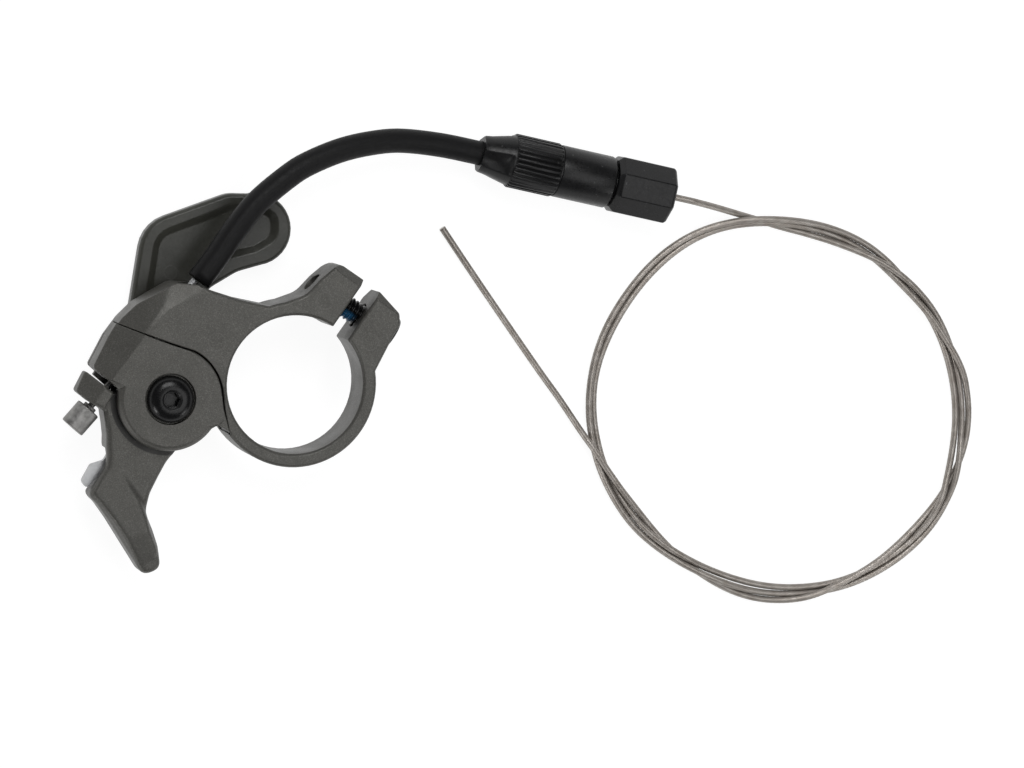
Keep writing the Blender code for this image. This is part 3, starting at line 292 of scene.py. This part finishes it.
PASS_3 = (
    (-552, 0.64, 0.55), (-566, 0.48, 0.55), (-574, 0.53, 0.55), (-584, 0.86, 0.55), (-594, 1.25, 0.55),
    (-603, 1.63, 0.80), (-612, 1.57, 1.40), (-618, 1.23, 1.65), (-625, 0.78, 1.60), (-635, 0.09, 1.30),
    (-643, -0.40, 0.80), (-651, -0.57, 0.60), (-658, -0.74, 0.55), (-671, -1.74, 0.55),
    (-681, -1.92, 0.90), (-688, -1.66, 1.60), (-694, -1.37, 1.65), (-700, -0.99, 1.65),
    (-706, -0.20, 1.20), (-713, 0.71, 0.60), (-723, 1.37, 0.55), (-732, 1.48, 0.55),
    (-740, 1.12, 0.55), (-749, 0.71, 0.55), (-759, 0.45, 0.55), (-768, 0.31, 0.55), (-778, 0.13, 0.90),
    (-784, 0.10, 1.60), (-791, 0.16, 1.70), (-796, 0.53, 1.50), (-802, 0.98, 0.80), (-808, 1.16, 0.55),
    (-817, 0.98, 0.55), (-823, 0.46, 0.55), (-828, -0.15, 0.55), (-835, -0.79, 0.55),
    (-841, -1.32, 0.55), (-847, -1.71, 0.55), (-858, -2.13, 0.55), (-869, -2.07, 0.70),
    (-879, -1.06, 1.60), (-888, 0.43, 2.60),
)


def coil_point(degrees, off, height):
    """A point of the coil from one row of a pass."""
    a = math.radians(degrees)
    base = math.hypot(COIL_RX * math.cos(a), COIL_RY * math.sin(a))
    k = 1 + off / base
    return Vector((COIL_X + COIL_RX * k * math.cos(a), COIL_Y + COIL_RY * k * math.sin(a), height))


def smooth_turns():
    """The passes as one even line, each degree averaged over its neighbours except near both ends."""
    reach, width, end, every = 15, 5.5, 12, 4       # degrees
    trace = np.array(PASS_1 + PASS_2 + PASS_3)
    at = np.arange(trace[0, 0], trace[-1, 0], -1.0)
    weight = np.exp(-0.5 * (np.arange(-reach, reach + 1) / width) ** 2)
    weight /= weight.sum()
    order = np.arange(len(at))
    share = np.clip(np.minimum(order, order[::-1]) / end, 0, 1)
    columns = [at]
    for column in (1, 2):
        line = np.interp(-at, -trace[:, 0], trace[:, column])
        even = np.convolve(np.pad(line, reach, "edge"), weight, "valid")
        columns.append(line + (even - line) * share)
    return [coil_point(*row) for row in np.array(columns).T[::every]] + [coil_point(*trace[-1])]


def coil_route():
    """The bare wire: out of the adjuster, three passes round the coil, and off along the tail."""
    lead = [adjuster_point(33.4), adjuster_point(35.5), adjuster_point(37.8), Vector((93.6, 28.62, 3.7))]
    lead += [Vector((97.4, 27.56, 2.2)), Vector((101.2, 26.46, 1.0)), Vector((105.69, 25.19, 0.55))]
    tail = [
        Vector((71.3, -8.0, 2.3)), Vector((68.0, -3.05, 1.4)), Vector((64.5, 1.75, 0.85)),
        Vector((57.65, 11.5, 0.6)), Vector((52.4, 19.1, 0.6)), Vector((48.0, 25.6, 0.6)),
    ]
    return lead + smooth_turns() + tail


def settle(points, reach, rounds):
    """Push turns that lie too close apart and let the rest sink to the table, with a smooth shift."""
    neighbours, fixed, lead = 12, 8, 32     # points along the wire
    sideways, push_share, smooth_share, sink_share = 0.35, 0.8, 0.4, 0.02
    tiny = 1e-6
    start = np.array([tuple(p) for p in points])
    shift = np.zeros_like(start)
    n = len(start)
    apart = np.abs(np.subtract.outer(np.arange(n), np.arange(n))) > neighbours
    free = np.ones((n, 1))
    free[:fixed] = 0
    for _ in range(rounds):
        co = start + shift
        gap_shade = co[:, None, :] - co[None, :, :]
        far = np.linalg.norm(gap_shade, axis=2)
        near = apart & (far < reach) & (far > tiny)
        push = np.where(near, (reach - far) / np.maximum(far, tiny), 0.0)
        move = (gap_shade * push[:, :, None]).sum(axis=1) / np.maximum(near.sum(axis=1), 1)[:, None]
        move[:, :2] *= sideways
        shift += move * push_share * free
        shift[1:-1] += ((shift[:-2] + shift[2:]) / 2 - shift[1:-1]) * smooth_share * free[1:-1]
        loose = ~near.any(axis=1) * free[:, 0]
        loose[:lead] = 0
        height = start[:, 2] + shift[:, 2]
        shift[:, 2] += loose * (WIRE_R - height) * sink_share
        shift[:, 2] += free[:, 0] * np.maximum(WIRE_R - start[:, 2] - shift[:, 2], 0)
    return [Vector(p) for p in start + shift]


def make_wire():
    """The bare wire with its laid-up strands, from the adjuster's cap to its free end."""
    spacing, fine_spacing, rounds, groove = 0.8, 0.4, 120, 0.90
    points = spline_through(coil_route(), spacing)
    points = spline_through(settle(points, 2 * WIRE_R + TURN_GAP, rounds), fine_spacing)
    section = []
    for k in range(STRANDS):
        section.append((WIRE_R, 2 * math.pi * k / STRANDS))
        section.append((WIRE_R * groove, 2 * math.pi * (k + 0.5) / STRANDS))
    wire = sweep("free_wire", points, section, twist=2 * math.pi / STRAND_LAY)
    stand_in(wire, "housing", "stranded_steel", "inner_wire_run", "inner_wire_coil", "inner_wire_tail")
    return wire


# Rigid pieces, in millimetres

BOLT_CENTRE = Vector((30.222, 13.311, 9.65))
BOLT_AXIS = Vector((0.80902, -0.58779, 0))
BOLT_TIP = -6.8         # places along the bolt, from the middle of the clamp's slit
BOLT_SEAT = 3.95
BOLT_END = 7.95
BOLT_HEAD_R = 3.45
THREAD_R = 1.95         # crest in the slit, where the thread shows
THREAD_HIDDEN_R = 1.62  # crest in the tapped lug
THREAD_DEPTH = 0.34
THREAD_PITCH = 0.7
THREAD_STEP = 0.07
HEX_R = 1.516


def make_bolt():
    """Clamp bolt with a cut thread and a hex socket."""

    def thread(s, angle):
        crest = THREAD_HIDDEN_R if s < -1.5 else THREAD_R
        phase = (s / THREAD_PITCH - angle / (2 * math.pi)) % 1.0
        return crest - THREAD_DEPTH * min(1.0, abs(2 * phase - 1) * 1.15)

    def hexagon(angle):
        return HEX_R / math.cos((angle % (math.pi / 3)) - math.pi / 6)

    rows = [(BOLT_TIP, plain(0.9)), (BOLT_TIP, plain(1.1))]
    s = BOLT_TIP + 0.2
    while s < BOLT_SEAT:
        rows.append((s, lambda a, s=s: thread(s, a)))
        s += THREAD_STEP
    rows += [(place, plain(radius)) for place, radius in (
        (BOLT_SEAT, 1.9), (BOLT_SEAT, BOLT_HEAD_R - 0.15), (BOLT_SEAT + 0.15, BOLT_HEAD_R),
        (BOLT_END - 0.35, BOLT_HEAD_R), (BOLT_END - 0.1, BOLT_HEAD_R - 0.15),
        (BOLT_END, BOLT_HEAD_R - 0.4), (BOLT_END, THREAD_R),
    )]
    rows += [
        (BOLT_END - 0.1, lambda a: hexagon(a) + 0.1), (BOLT_END - 0.25, hexagon), (BOLT_END - 2.0, hexagon),
    ]
    bm = lathe(rows, 48, BOLT_CENTRE, BOLT_AXIS)
    shade_smooth(bm)
    return stand_in(finish_mesh("threaded_bolt", bm), "housing", "black_oxide", "clamp_bolt")


def make_barrel():
    """Barrel of the adjuster: a fluted neck, a straight knurl and a plain sleeve round the spring's room."""
    along = (adjuster_point(1) - adjuster_point(0)).normalized()
    teeth = 32

    def neck(radius, depth):
        """A neck with three wide flutes, one of them turned to the front."""
        front, half_width = 1.82, 0.46      # radians

        def outline(a):
            off = abs((a - front + math.pi / 3) % (2 * math.pi / 3) - math.pi / 3)
            return radius - depth * max(0.0, 1 - (off / half_width) ** 2)
        return outline

    def toothed(radius, depth):
        """Teeth with narrow grooves between them."""
        def outline(a):
            off = abs((a * teeth / (2 * math.pi)) % 1.0 - 0.5) * 2
            return radius - depth * max(0.0, min(1.0, (off - 0.45) / 0.4))
        return outline

    outside = [
        (0.0, neck(2.9, 0.3)), (0.2, neck(3.05, 0.45)), (1.4, neck(3.25, 0.6)), (2.8, neck(3.6, 0.8)),
        (3.9, neck(3.87, 0.7)), (4.6, neck(4.02, 0.45)), (4.9, plain(4.1)), (5.2, plain(4.12)),
        (5.22, toothed(4.24, 0.1)), (5.5, toothed(4.46, 0.36)), (12.75, toothed(4.46, 0.36)),
        (13.05, toothed(4.3, 0.2)), (13.1, plain(4.1)), (13.3, plain(4.1)), (13.35, plain(4.26)),
        (13.5, plain(4.3)), (22.2, plain(4.3)), (22.5, plain(4.16)), (22.6, plain(3.95)),
    ]
    inside = [(22.6, 3.35), (18.0, 3.35), (18.0, 2.3), (7.2, 2.3), (7.2, 2.03), (0.0, 2.03)]
    rows = outside + [(s, plain(r)) for s, r in inside]
    bm = lathe(rows, teeth * 6, adjuster_point(0), along, closed=True)
    shade_smooth(bm, degrees=42)
    return stand_in(finish_mesh("barrel", bm), "barrel", "moulded_black", "adjuster_barrel")


FRONT_Z = 14.1          # front face of the housing and its cover
DISC_R = 8.35           # radius of the cover's disc, at the foot of its chamfer
NEAR = 0.02             # how close counts as on a line or a face


def on_line(angle, distance):
    """Test for edges of the front face that lie on a line across it."""
    way = Vector((math.cos(math.radians(angle)), math.sin(math.radians(angle)), 0))
    return lambda *ends: all(abs(p.dot(way) - distance) < NEAR and abs(p.z - FRONT_Z) < NEAR for p in ends)


def on_disc_rim(*ends):
    """Test for edges of the chamfer round the cover's disc."""
    return all(
        p.z > FRONT_Z - 0.8 and DISC_R - 0.8 < math.hypot(p.x, p.y) < DISC_R + 0.15 for p in ends
    )


def ease(low, high, x):
    """0 up to low, 1 from high, and smooth between them."""
    t = np.clip((x - low) / (high - low), 0, 1)
    return t * t * (3 - 2 * t)


def sculpt_lever():
    """The lock lever with its arm worn smooth: an even net of its form, eased along its own edges."""
    net_size = 0.15
    passes, hub_passes, hub_share = 26, 3, 0.6
    rough = finish_mesh("lever_net", welded_form("lock_lever"))
    remesh = rough.modifiers.new("net", "REMESH")
    remesh.mode = "VOXEL"
    remesh.voxel_size = net_size * MM
    mesh = bpy.data.meshes.new_from_object(rough.evaluated_get(bpy.context.evaluated_depsgraph_get()))
    bpy.data.objects.remove(rough)

    count = len(mesh.vertices)
    co = np.empty(count * 3)
    mesh.vertices.foreach_get("co", co)
    co = co.reshape(-1, 3) / MM
    ends = np.empty(len(mesh.edges) * 2, dtype=int)
    mesh.edges.foreach_get("vertices", ends)
    a, b = ends.reshape(-1, 2).T
    around = np.maximum(np.bincount(a, minlength=count) + np.bincount(b, minlength=count), 1)
    arm = ease(9.15, 9.7, np.hypot(co[:, 0], co[:, 1])) * ease(2.6, 4.2, -co[:, 1])
    for step in range(passes):
        share = 0.5 * np.maximum(arm, hub_share if step < hub_passes else 0.0)
        for axis in range(3):
            line = co[:, axis]
            mean = np.bincount(a, line[b], count) + np.bincount(b, line[a], count)
            co[:, axis] += share * (mean / around - line)
    # The arm's left side runs straight from the cover to the heel.
    co[:, 0] -= 0.5 * np.exp(-((co[:, 1] + 7.9) / 1.7) ** 2) * ease(6.5, 8.8, -co[:, 0]) * arm
    mesh.vertices.foreach_set("co", (co * MM).ravel())
    mesh.polygons.foreach_set("use_smooth", [True] * len(mesh.polygons))
    mesh.update()
    lever = bpy.data.objects.new("lever_form", mesh)
    bpy.context.scene.collection.objects.link(lever)
    return stand_in(lever, "lever", "moulded_grey", "lock_lever")


body_form = soften("clamp_body", "housing", "moulded_grey", 0.16, (
    (on_line(142.4, 9.4), 0.7), (on_line(118.0, 12.6), 0.6),
))
cover_form = soften("front_cover", "housing", "moulded_grey", 0.12, ((on_disc_rim, 0.3),))
lever_form = sculpt_lever()
paddle_form = soften("release_lever", "release", "moulded_black", 0.2)
cap_form = soften("adjuster_cap", "cap", "moulded_black", 0.18)
barrel = make_barrel()
screw_form = soften("pivot_screw", "housing", "black_oxide", 0.05)
nipple_form = soften("cable_nipple", "lever", "stranded_steel", 0.12)
bolt = make_bolt()
casing = make_casing()
wire = make_wire()


# Materials

def material(name):
    """A new material, its node tree and its shader."""
    made = bpy.data.materials.new(name)
    made.use_nodes = True
    return made, made.node_tree, made.node_tree.nodes["Principled BSDF"]


def add(tree, kind, *inputs, **settings):
    """A node with its settings, and its inputs as pairs of a socket and a value or an output."""
    node = tree.nodes.new("ShaderNode" + kind)
    for key, value in settings.items():
        setattr(node, key, value)
    for socket, value in inputs:
        if isinstance(value, bpy.types.NodeSocket):
            tree.links.new(value, node.inputs[socket])
        else:
            node.inputs[socket].default_value = value
    return node


def place(tree, stretch=(1, 1, 1), socket="Object"):
    """Texture coordinates, in metres unless they are UVs, stretched per axis."""
    spot = add(tree, "TexCoord").outputs[socket]
    return add(tree, "Mapping", ("Vector", spot), ("Scale", stretch)).outputs["Vector"]


def noise(tree, where, scale, detail):
    """A grey noise from 0 to 1."""
    return add(tree, "TexNoise", ("Vector", where), ("Scale", scale), ("Detail", detail)).outputs["Fac"]


def ramp(tree, value, *stops):
    """A colour from a value, with stops as pairs of a place and three numbers."""
    node = add(tree, "ValToRGB", ("Fac", value))
    marks = node.color_ramp.elements
    while len(marks) < len(stops):
        marks.new(0.5)
    for mark, (at, colour) in zip(marks, stops):
        mark.position = at
        mark.color = (*colour, 1)
    return node.outputs["Color"]


def span(tree, value, low, high, to_low, to_high):
    """A value's range mapped to another, and held at both ends."""
    return add(
        tree, "MapRange", ("Value", value), ("From Min", low), ("From Max", high),
        ("To Min", to_low), ("To Max", to_high),
    ).outputs["Result"]


def maths(tree, operation, a, b):
    """A sum or the like of two values, each an output or a number."""
    return add(tree, "Math", (0, a), (1, b), operation=operation).outputs[0]


def blend(tree, share, first, second):
    """Mix of two colours, each an output or three numbers."""
    pair = [c if isinstance(c, bpy.types.NodeSocket) else (*c, 1) for c in (first, second)]
    return add(tree, "Mix", (0, share), (6, pair[0]), (7, pair[1]), data_type="RGBA").outputs[2]


def set_shader(tree, shader, colour, roughness, height, relief, strength, **inputs):
    """Links a shader to its colour, roughness and bump, with the relief in metres, and sets other inputs."""
    tree.links.new(colour, shader.inputs["Base Color"])
    tree.links.new(roughness, shader.inputs["Roughness"])
    bump = add(tree, "Bump", ("Height", height), ("Distance", relief), ("Strength", strength))
    tree.links.new(bump.outputs["Normal"], shader.inputs["Normal"])
    for name, value in inputs.items():
        shader.inputs[name.replace("_", " ")].default_value = value


# Marks left by the mould's ejector pins, on the front faces and on the release lever's pad.
EJECTORS = ((7.51, 8.94, FRONT_Z), (25.1, 15.09, FRONT_Z), (32.46, 8.35, FRONT_Z), (2.24, 19.28, 4.2))
EJECTOR_R = 1.35
EJECTOR_LINE = 0.16     # half the width of the ring


def ejector_rings(tree, where):
    """1 on the thin rings of the ejector marks, 0 elsewhere."""
    total = None
    for spot in EJECTORS:
        away = add(
            tree, "VectorMath", (0, where), (1, tuple(v * MM for v in spot)), operation="DISTANCE",
        ).outputs["Value"]
        off = maths(tree, "ABSOLUTE", maths(tree, "SUBTRACT", away, EJECTOR_R * MM), 0.0)
        ring = span(tree, off, 0.0, EJECTOR_LINE * MM, 1.0, 0.0)
        total = ring if total is None else maths(tree, "MAXIMUM", total, ring)
    return total


def grey_moulding():
    """Dark grey moulding with fine metal flakes, and painted shade in the gap round the cover."""
    made, tree, shader = material("grey_moulding")
    where = place(tree)
    grain = noise(tree, where, 5200, 1.5)
    broad = noise(tree, where, 260, 2.0)
    base = ramp(tree, grain, (0.3, (0.059, 0.0575, 0.0515)), (0.7, (0.085, 0.083, 0.0745)))
    cells = add(tree, "TexVoronoi", ("Vector", where), ("Scale", 8500.0)).outputs["Color"]
    flake = span(tree, add(tree, "SeparateColor", ("Color", cells)).outputs[0], 0.78, 1.0, 0.0, 0.5)
    base = blend(tree, flake, base, (0.150, 0.147, 0.135))
    rings = ejector_rings(tree, where)
    base = blend(tree, maths(tree, "MULTIPLY", rings, 0.3), base, (0.12, 0.117, 0.11))
    # Painted shade in the gap round the cover: near black low down and inside the groove round the disc.
    flat = add(tree, "VectorMath", (0, where), (1, (1, 1, 0)), operation="MULTIPLY").outputs["Vector"]
    radius = add(tree, "VectorMath", (0, flat), operation="LENGTH").outputs["Value"]
    level = add(tree, "SeparateXYZ", ("Vector", where)).outputs["Z"]
    low = span(tree, level, 0.0122, 0.0130, 0.85, 0.0)
    gap_shade = maths(tree, "MULTIPLY", low, span(tree, radius, 0.0091, 0.0093, 1.0, 0.0))
    base = blend(tree, gap_shade, base, (0.010, 0.0098, 0.0092))
    rough = span(tree, broad, 0.3, 0.7, 0.40, 0.50)
    rough = maths(tree, "SUBTRACT", rough, maths(tree, "MULTIPLY", flake, 0.15))
    height = maths(tree, "ADD", grain, maths(tree, "MULTIPLY", rings, 1.5))
    set_shader(tree, shader, base, rough, height, 0.00001, 0.4, Metallic=0.35)
    return made


def black_moulding():
    """Satin black plastic of the release lever, with an olive cast."""
    made, tree, shader = material("black_moulding")
    where = place(tree)
    grain = noise(tree, where, 2400, 3.0)
    broad = noise(tree, where, 180, 3.0)
    base = ramp(tree, broad, (0.25, (0.021, 0.0215, 0.0165)), (0.75, (0.047, 0.0475, 0.040)))
    rings = ejector_rings(tree, where)
    base = blend(tree, maths(tree, "MULTIPLY", rings, 0.3), base, (0.06, 0.06, 0.056))
    rough = span(tree, grain, 0.3, 0.7, 0.30, 0.44)
    height = maths(tree, "ADD", grain, maths(tree, "MULTIPLY", rings, 2.0))
    set_shader(tree, shader, base, rough, height, 0.000012, 0.5, Specular_IOR_Level=0.4)
    return made


def casing_sheath():
    """Extruded sheath of the outer casing, with faint lines along it."""
    made, tree, shader = material("casing_sheath")
    lines = noise(tree, place(tree, (0.25, 26, 1), "UV"), 2.0, 3.0)
    grain = noise(tree, place(tree), 1800, 2.0)
    base = ramp(tree, lines, (0.3, (0.0065, 0.0065, 0.0068)), (0.7, (0.0100, 0.0100, 0.0104)))
    rough = span(tree, grain, 0.3, 0.7, 0.42, 0.54)
    set_shader(
        tree, shader, base, rough, maths(tree, "ADD", lines, grain), 0.000015, 0.4, Specular_IOR_Level=0.14,
    )
    return made


def adjuster_plastic():
    """Half gloss black of the barrel and the cap, a little dusty in its grain."""
    made, tree, shader = material("adjuster_plastic")
    where = place(tree)
    grain = noise(tree, where, 2600, 3.0)
    broad = noise(tree, where, 220, 2.0)
    base = ramp(tree, broad, (0.3, (0.0045, 0.0045, 0.0048)), (0.7, (0.0080, 0.0080, 0.0085)))
    specks = span(tree, noise(tree, where, 1500, 1.0), 0.74, 0.80, 0.0, 0.5)
    base = blend(tree, specks, base, (0.10, 0.10, 0.10))
    rough = span(tree, grain, 0.3, 0.7, 0.26, 0.40)
    set_shader(tree, shader, base, rough, grain, 0.000012, 0.5, Specular_IOR_Level=0.27)
    return made


def from_bolt(tree, where, way, low, high, to_low, to_high):
    """A share that changes between two distances from the bolt's centre, in millimetres, along a way."""
    run = add(tree, "VectorMath", (0, where), (1, tuple(way)), operation="DOT_PRODUCT").outputs["Value"]
    centre = BOLT_CENTRE.dot(way) * MM
    return span(tree, run, centre + low * MM, centre + high * MM, to_low, to_high)


def black_oxide(name, sealant=False):
    """Blackened steel. The clamp bolt's thread also carries a patch of blue sealant."""
    made, tree, shader = material(name)
    where = place(tree)
    grain = noise(tree, where, 2200, 3.0)
    broad = noise(tree, where, 420, 2.0)
    base = ramp(tree, broad, (0.3, (0.0020, 0.0020, 0.0022)), (0.7, (0.0045, 0.0045, 0.0048)))
    if sealant:
        lower = from_bolt(tree, where, Vector((BOLT_AXIS.y, -BOLT_AXIS.x, 0)), 0.2, 0.9, 0.0, 1.0)
        near = from_bolt(tree, where, BOLT_AXIS, 0.3, 1.3, 1.0, 0.0)
        patch = maths(tree, "MULTIPLY", lower, near)
        patch = maths(tree, "MULTIPLY", patch, span(tree, grain, 0.2, 0.5, 0.6, 1.0))
        base = blend(tree, patch, base, (0.012, 0.075, 0.16))
    rough = span(tree, grain, 0.3, 0.7, 0.20, 0.32)
    set_shader(tree, shader, base, rough, grain, 0.00001, 0.4, Specular_IOR_Level=0.28)
    return made


def bright_steel(name, dark, light, rough_low, rough_high, scale=900, stretch=(1, 1, 1), relief=0.00001):
    """Bare or plated steel with a mottled, finely scratched face."""
    made, tree, shader = material(name)
    where = place(tree, stretch)
    blotch = noise(tree, where, scale, 3.0)
    grain = noise(tree, place(tree), 4200, 2.0)
    base = ramp(tree, blotch, (0.32, dark), (0.68, light))
    rough = span(tree, maths(tree, "ADD", blotch, grain), 0.7, 1.3, rough_low, rough_high)
    set_shader(tree, shader, base, rough, maths(tree, "ADD", blotch, grain), relief, 0.5, Metallic=0.85)
    return made


def wire_strands():
    """Drawn wires laid up in a strand, with painted shade in the grooves between them."""
    made, tree, shader = material("wire_strands")
    turn = add(tree, "SeparateXYZ", ("Vector", add(tree, "TexCoord").outputs["UV"])).outputs["Y"]
    groove = maths(tree, "PINGPONG", maths(tree, "MULTIPLY", turn, STRANDS), 0.5)
    where = place(tree)
    tint = noise(tree, where, 700, 2.0)
    base = ramp(tree, tint, (0.3, (0.33, 0.298, 0.265)), (0.7, (0.46, 0.430, 0.397)))
    # Painted shade: the colour darkens towards the grooves between the strands.
    groove_shade = span(tree, groove, 0.22, 0.5, 0.0, 0.6)
    base = blend(tree, groove_shade, base, (0.12, 0.10, 0.085))
    rough = span(tree, noise(tree, where, 3000, 2.0), 0.3, 0.7, 0.34, 0.52)
    set_shader(tree, shader, base, rough, noise(tree, where, 5000, 1.0), 0.00001, 0.4, Metallic=0.7)
    return made


def dress(obj, made):
    """Gives an object one material."""
    obj.data.materials.clear()
    obj.data.materials.append(made)


grey = grey_moulding()
oxide = black_oxide("black_oxide")
adjuster_black = adjuster_plastic()
zinc = bright_steel("zinc_plate", (0.34, 0.345, 0.35), (0.46, 0.465, 0.47), 0.30, 0.45, 600, (1, 1, 3))
# Dark steel of the springs and pawl, also laid on the inner wire's end as painted shade.
spring_steel_and_gap_shade = bright_steel("spring_steel_and_gap_shade", (0.09, 0.088, 0.084), (0.15, 0.147, 0.14), 0.32, 0.48)
cast_zinc = bright_steel(
    "cast_zinc", (0.16, 0.158, 0.152), (0.36, 0.355, 0.345), 0.42, 0.62, scale=700, relief=0.00004,
)
for piece, made in (
    (body_form, grey), (cover_form, grey), (lever_form, grey), (paddle_form, black_moulding()),
    (screw_form, oxide), (bolt, black_oxide("bolt_oxide", True)), (barrel, adjuster_black),
    (cap_form, adjuster_black), (casing, casing_sheath()), (wire, wire_strands()), (nipple_form, cast_zinc),
    (nodes["pivot_sleeve"], zinc), (nodes["release_washer"], zinc), (nodes["lever_washer"], spring_steel_and_gap_shade),
    (nodes["ratchet_plate"], zinc), (nodes["pawl"], spring_steel_and_gap_shade), (nodes["pawl_pin"], spring_steel_and_gap_shade),
    (nodes["pawl_spring"], spring_steel_and_gap_shade), (nodes["release_spring"], spring_steel_and_gap_shade),
    # The inner wire's end takes the dark spring steel, not the wire's own strands: painted shade in the gap
    # by the lever's block.
    (nodes["inner_wire_end"], spring_steel_and_gap_shade), (nodes["inner_wire_lead"], zinc),
    (nodes["adjuster_tube"], zinc), (nodes["adjuster_spring"], spring_steel_and_gap_shade),
):
    dress(piece, made)


# Floor and light

def make_floor():
    """Pale floor that shows white where nothing shades it, and keeps the shadow."""
    bm = bmesh.new()
    bmesh.ops.create_grid(bm, x_segments=1, y_segments=1, size=3.0)
    floor = finish_mesh("floor", bm)
    floor.location.z = -0.0002
    made, tree, shader = material("floor")
    shader.inputs["Base Color"].default_value = (0.9, 0.9, 0.9, 1)
    shader.inputs["Roughness"].default_value = 0.9
    shader.inputs["Specular IOR Level"].default_value = 0.0
    rays = add(tree, "LightPath").outputs
    seen = maths(
        tree, "MAXIMUM", rays["Is Camera Ray"],
        maths(tree, "MAXIMUM", rays["Is Glossy Ray"], rays["Is Transmission Ray"]),
    )
    white = add(tree, "Emission", ("Color", (1, 1, 1, 1)), ("Strength", 1.12))
    share = maths(tree, "MULTIPLY", seen, 0.82)
    mix = add(tree, "MixShader", (0, share), (1, shader.outputs[0]), (2, white.outputs[0]))
    tree.links.new(mix.outputs[0], tree.nodes["Material Output"].inputs["Surface"])
    dress(floor, made)


def make_world():
    """White round the horizon and below it, as a studio table is, and dim overhead."""
    world = bpy.data.worlds.new("world")
    bpy.context.scene.world = world
    world.use_nodes = True
    tree = world.node_tree
    up = add(tree, "SeparateXYZ", ("Vector", add(tree, "TexCoord").outputs["Generated"])).outputs["Z"]
    sky = ramp(tree, up, (0.17, (1, 1, 1)), (0.33, (0.125, 0.125, 0.13)))
    tree.links.new(sky, tree.nodes["Background"].inputs["Color"])


def add_lamp(name, spot, size, power):
    """A square softbox turned to the part, in metres and watts."""
    data = bpy.data.lights.new(name, "AREA")
    data.size = size
    data.energy = power
    lamp = bpy.data.objects.new(name, data)
    lamp.location = spot
    lamp.rotation_mode = "QUATERNION"
    lamp.rotation_quaternion = (Vector((0.05, 0, 0)) - Vector(spot)).to_track_quat("-Z", "Y")
    bpy.context.scene.collection.objects.link(lamp)


make_floor()
make_world()
add_lamp("softbox_back", (0.0, 0.52, 0.78), 0.45, 3.4)
add_lamp("softbox_right", (0.33, -0.10, 0.85), 0.6, 2.0)
add_lamp("low_left", (-0.55, -0.50, 0.38), 0.22, 1.2)
add_lamp("low_right", (0.60, -0.55, 0.42), 0.22, 0.8)
bpy.context.scene.view_settings.view_transform = "Standard"
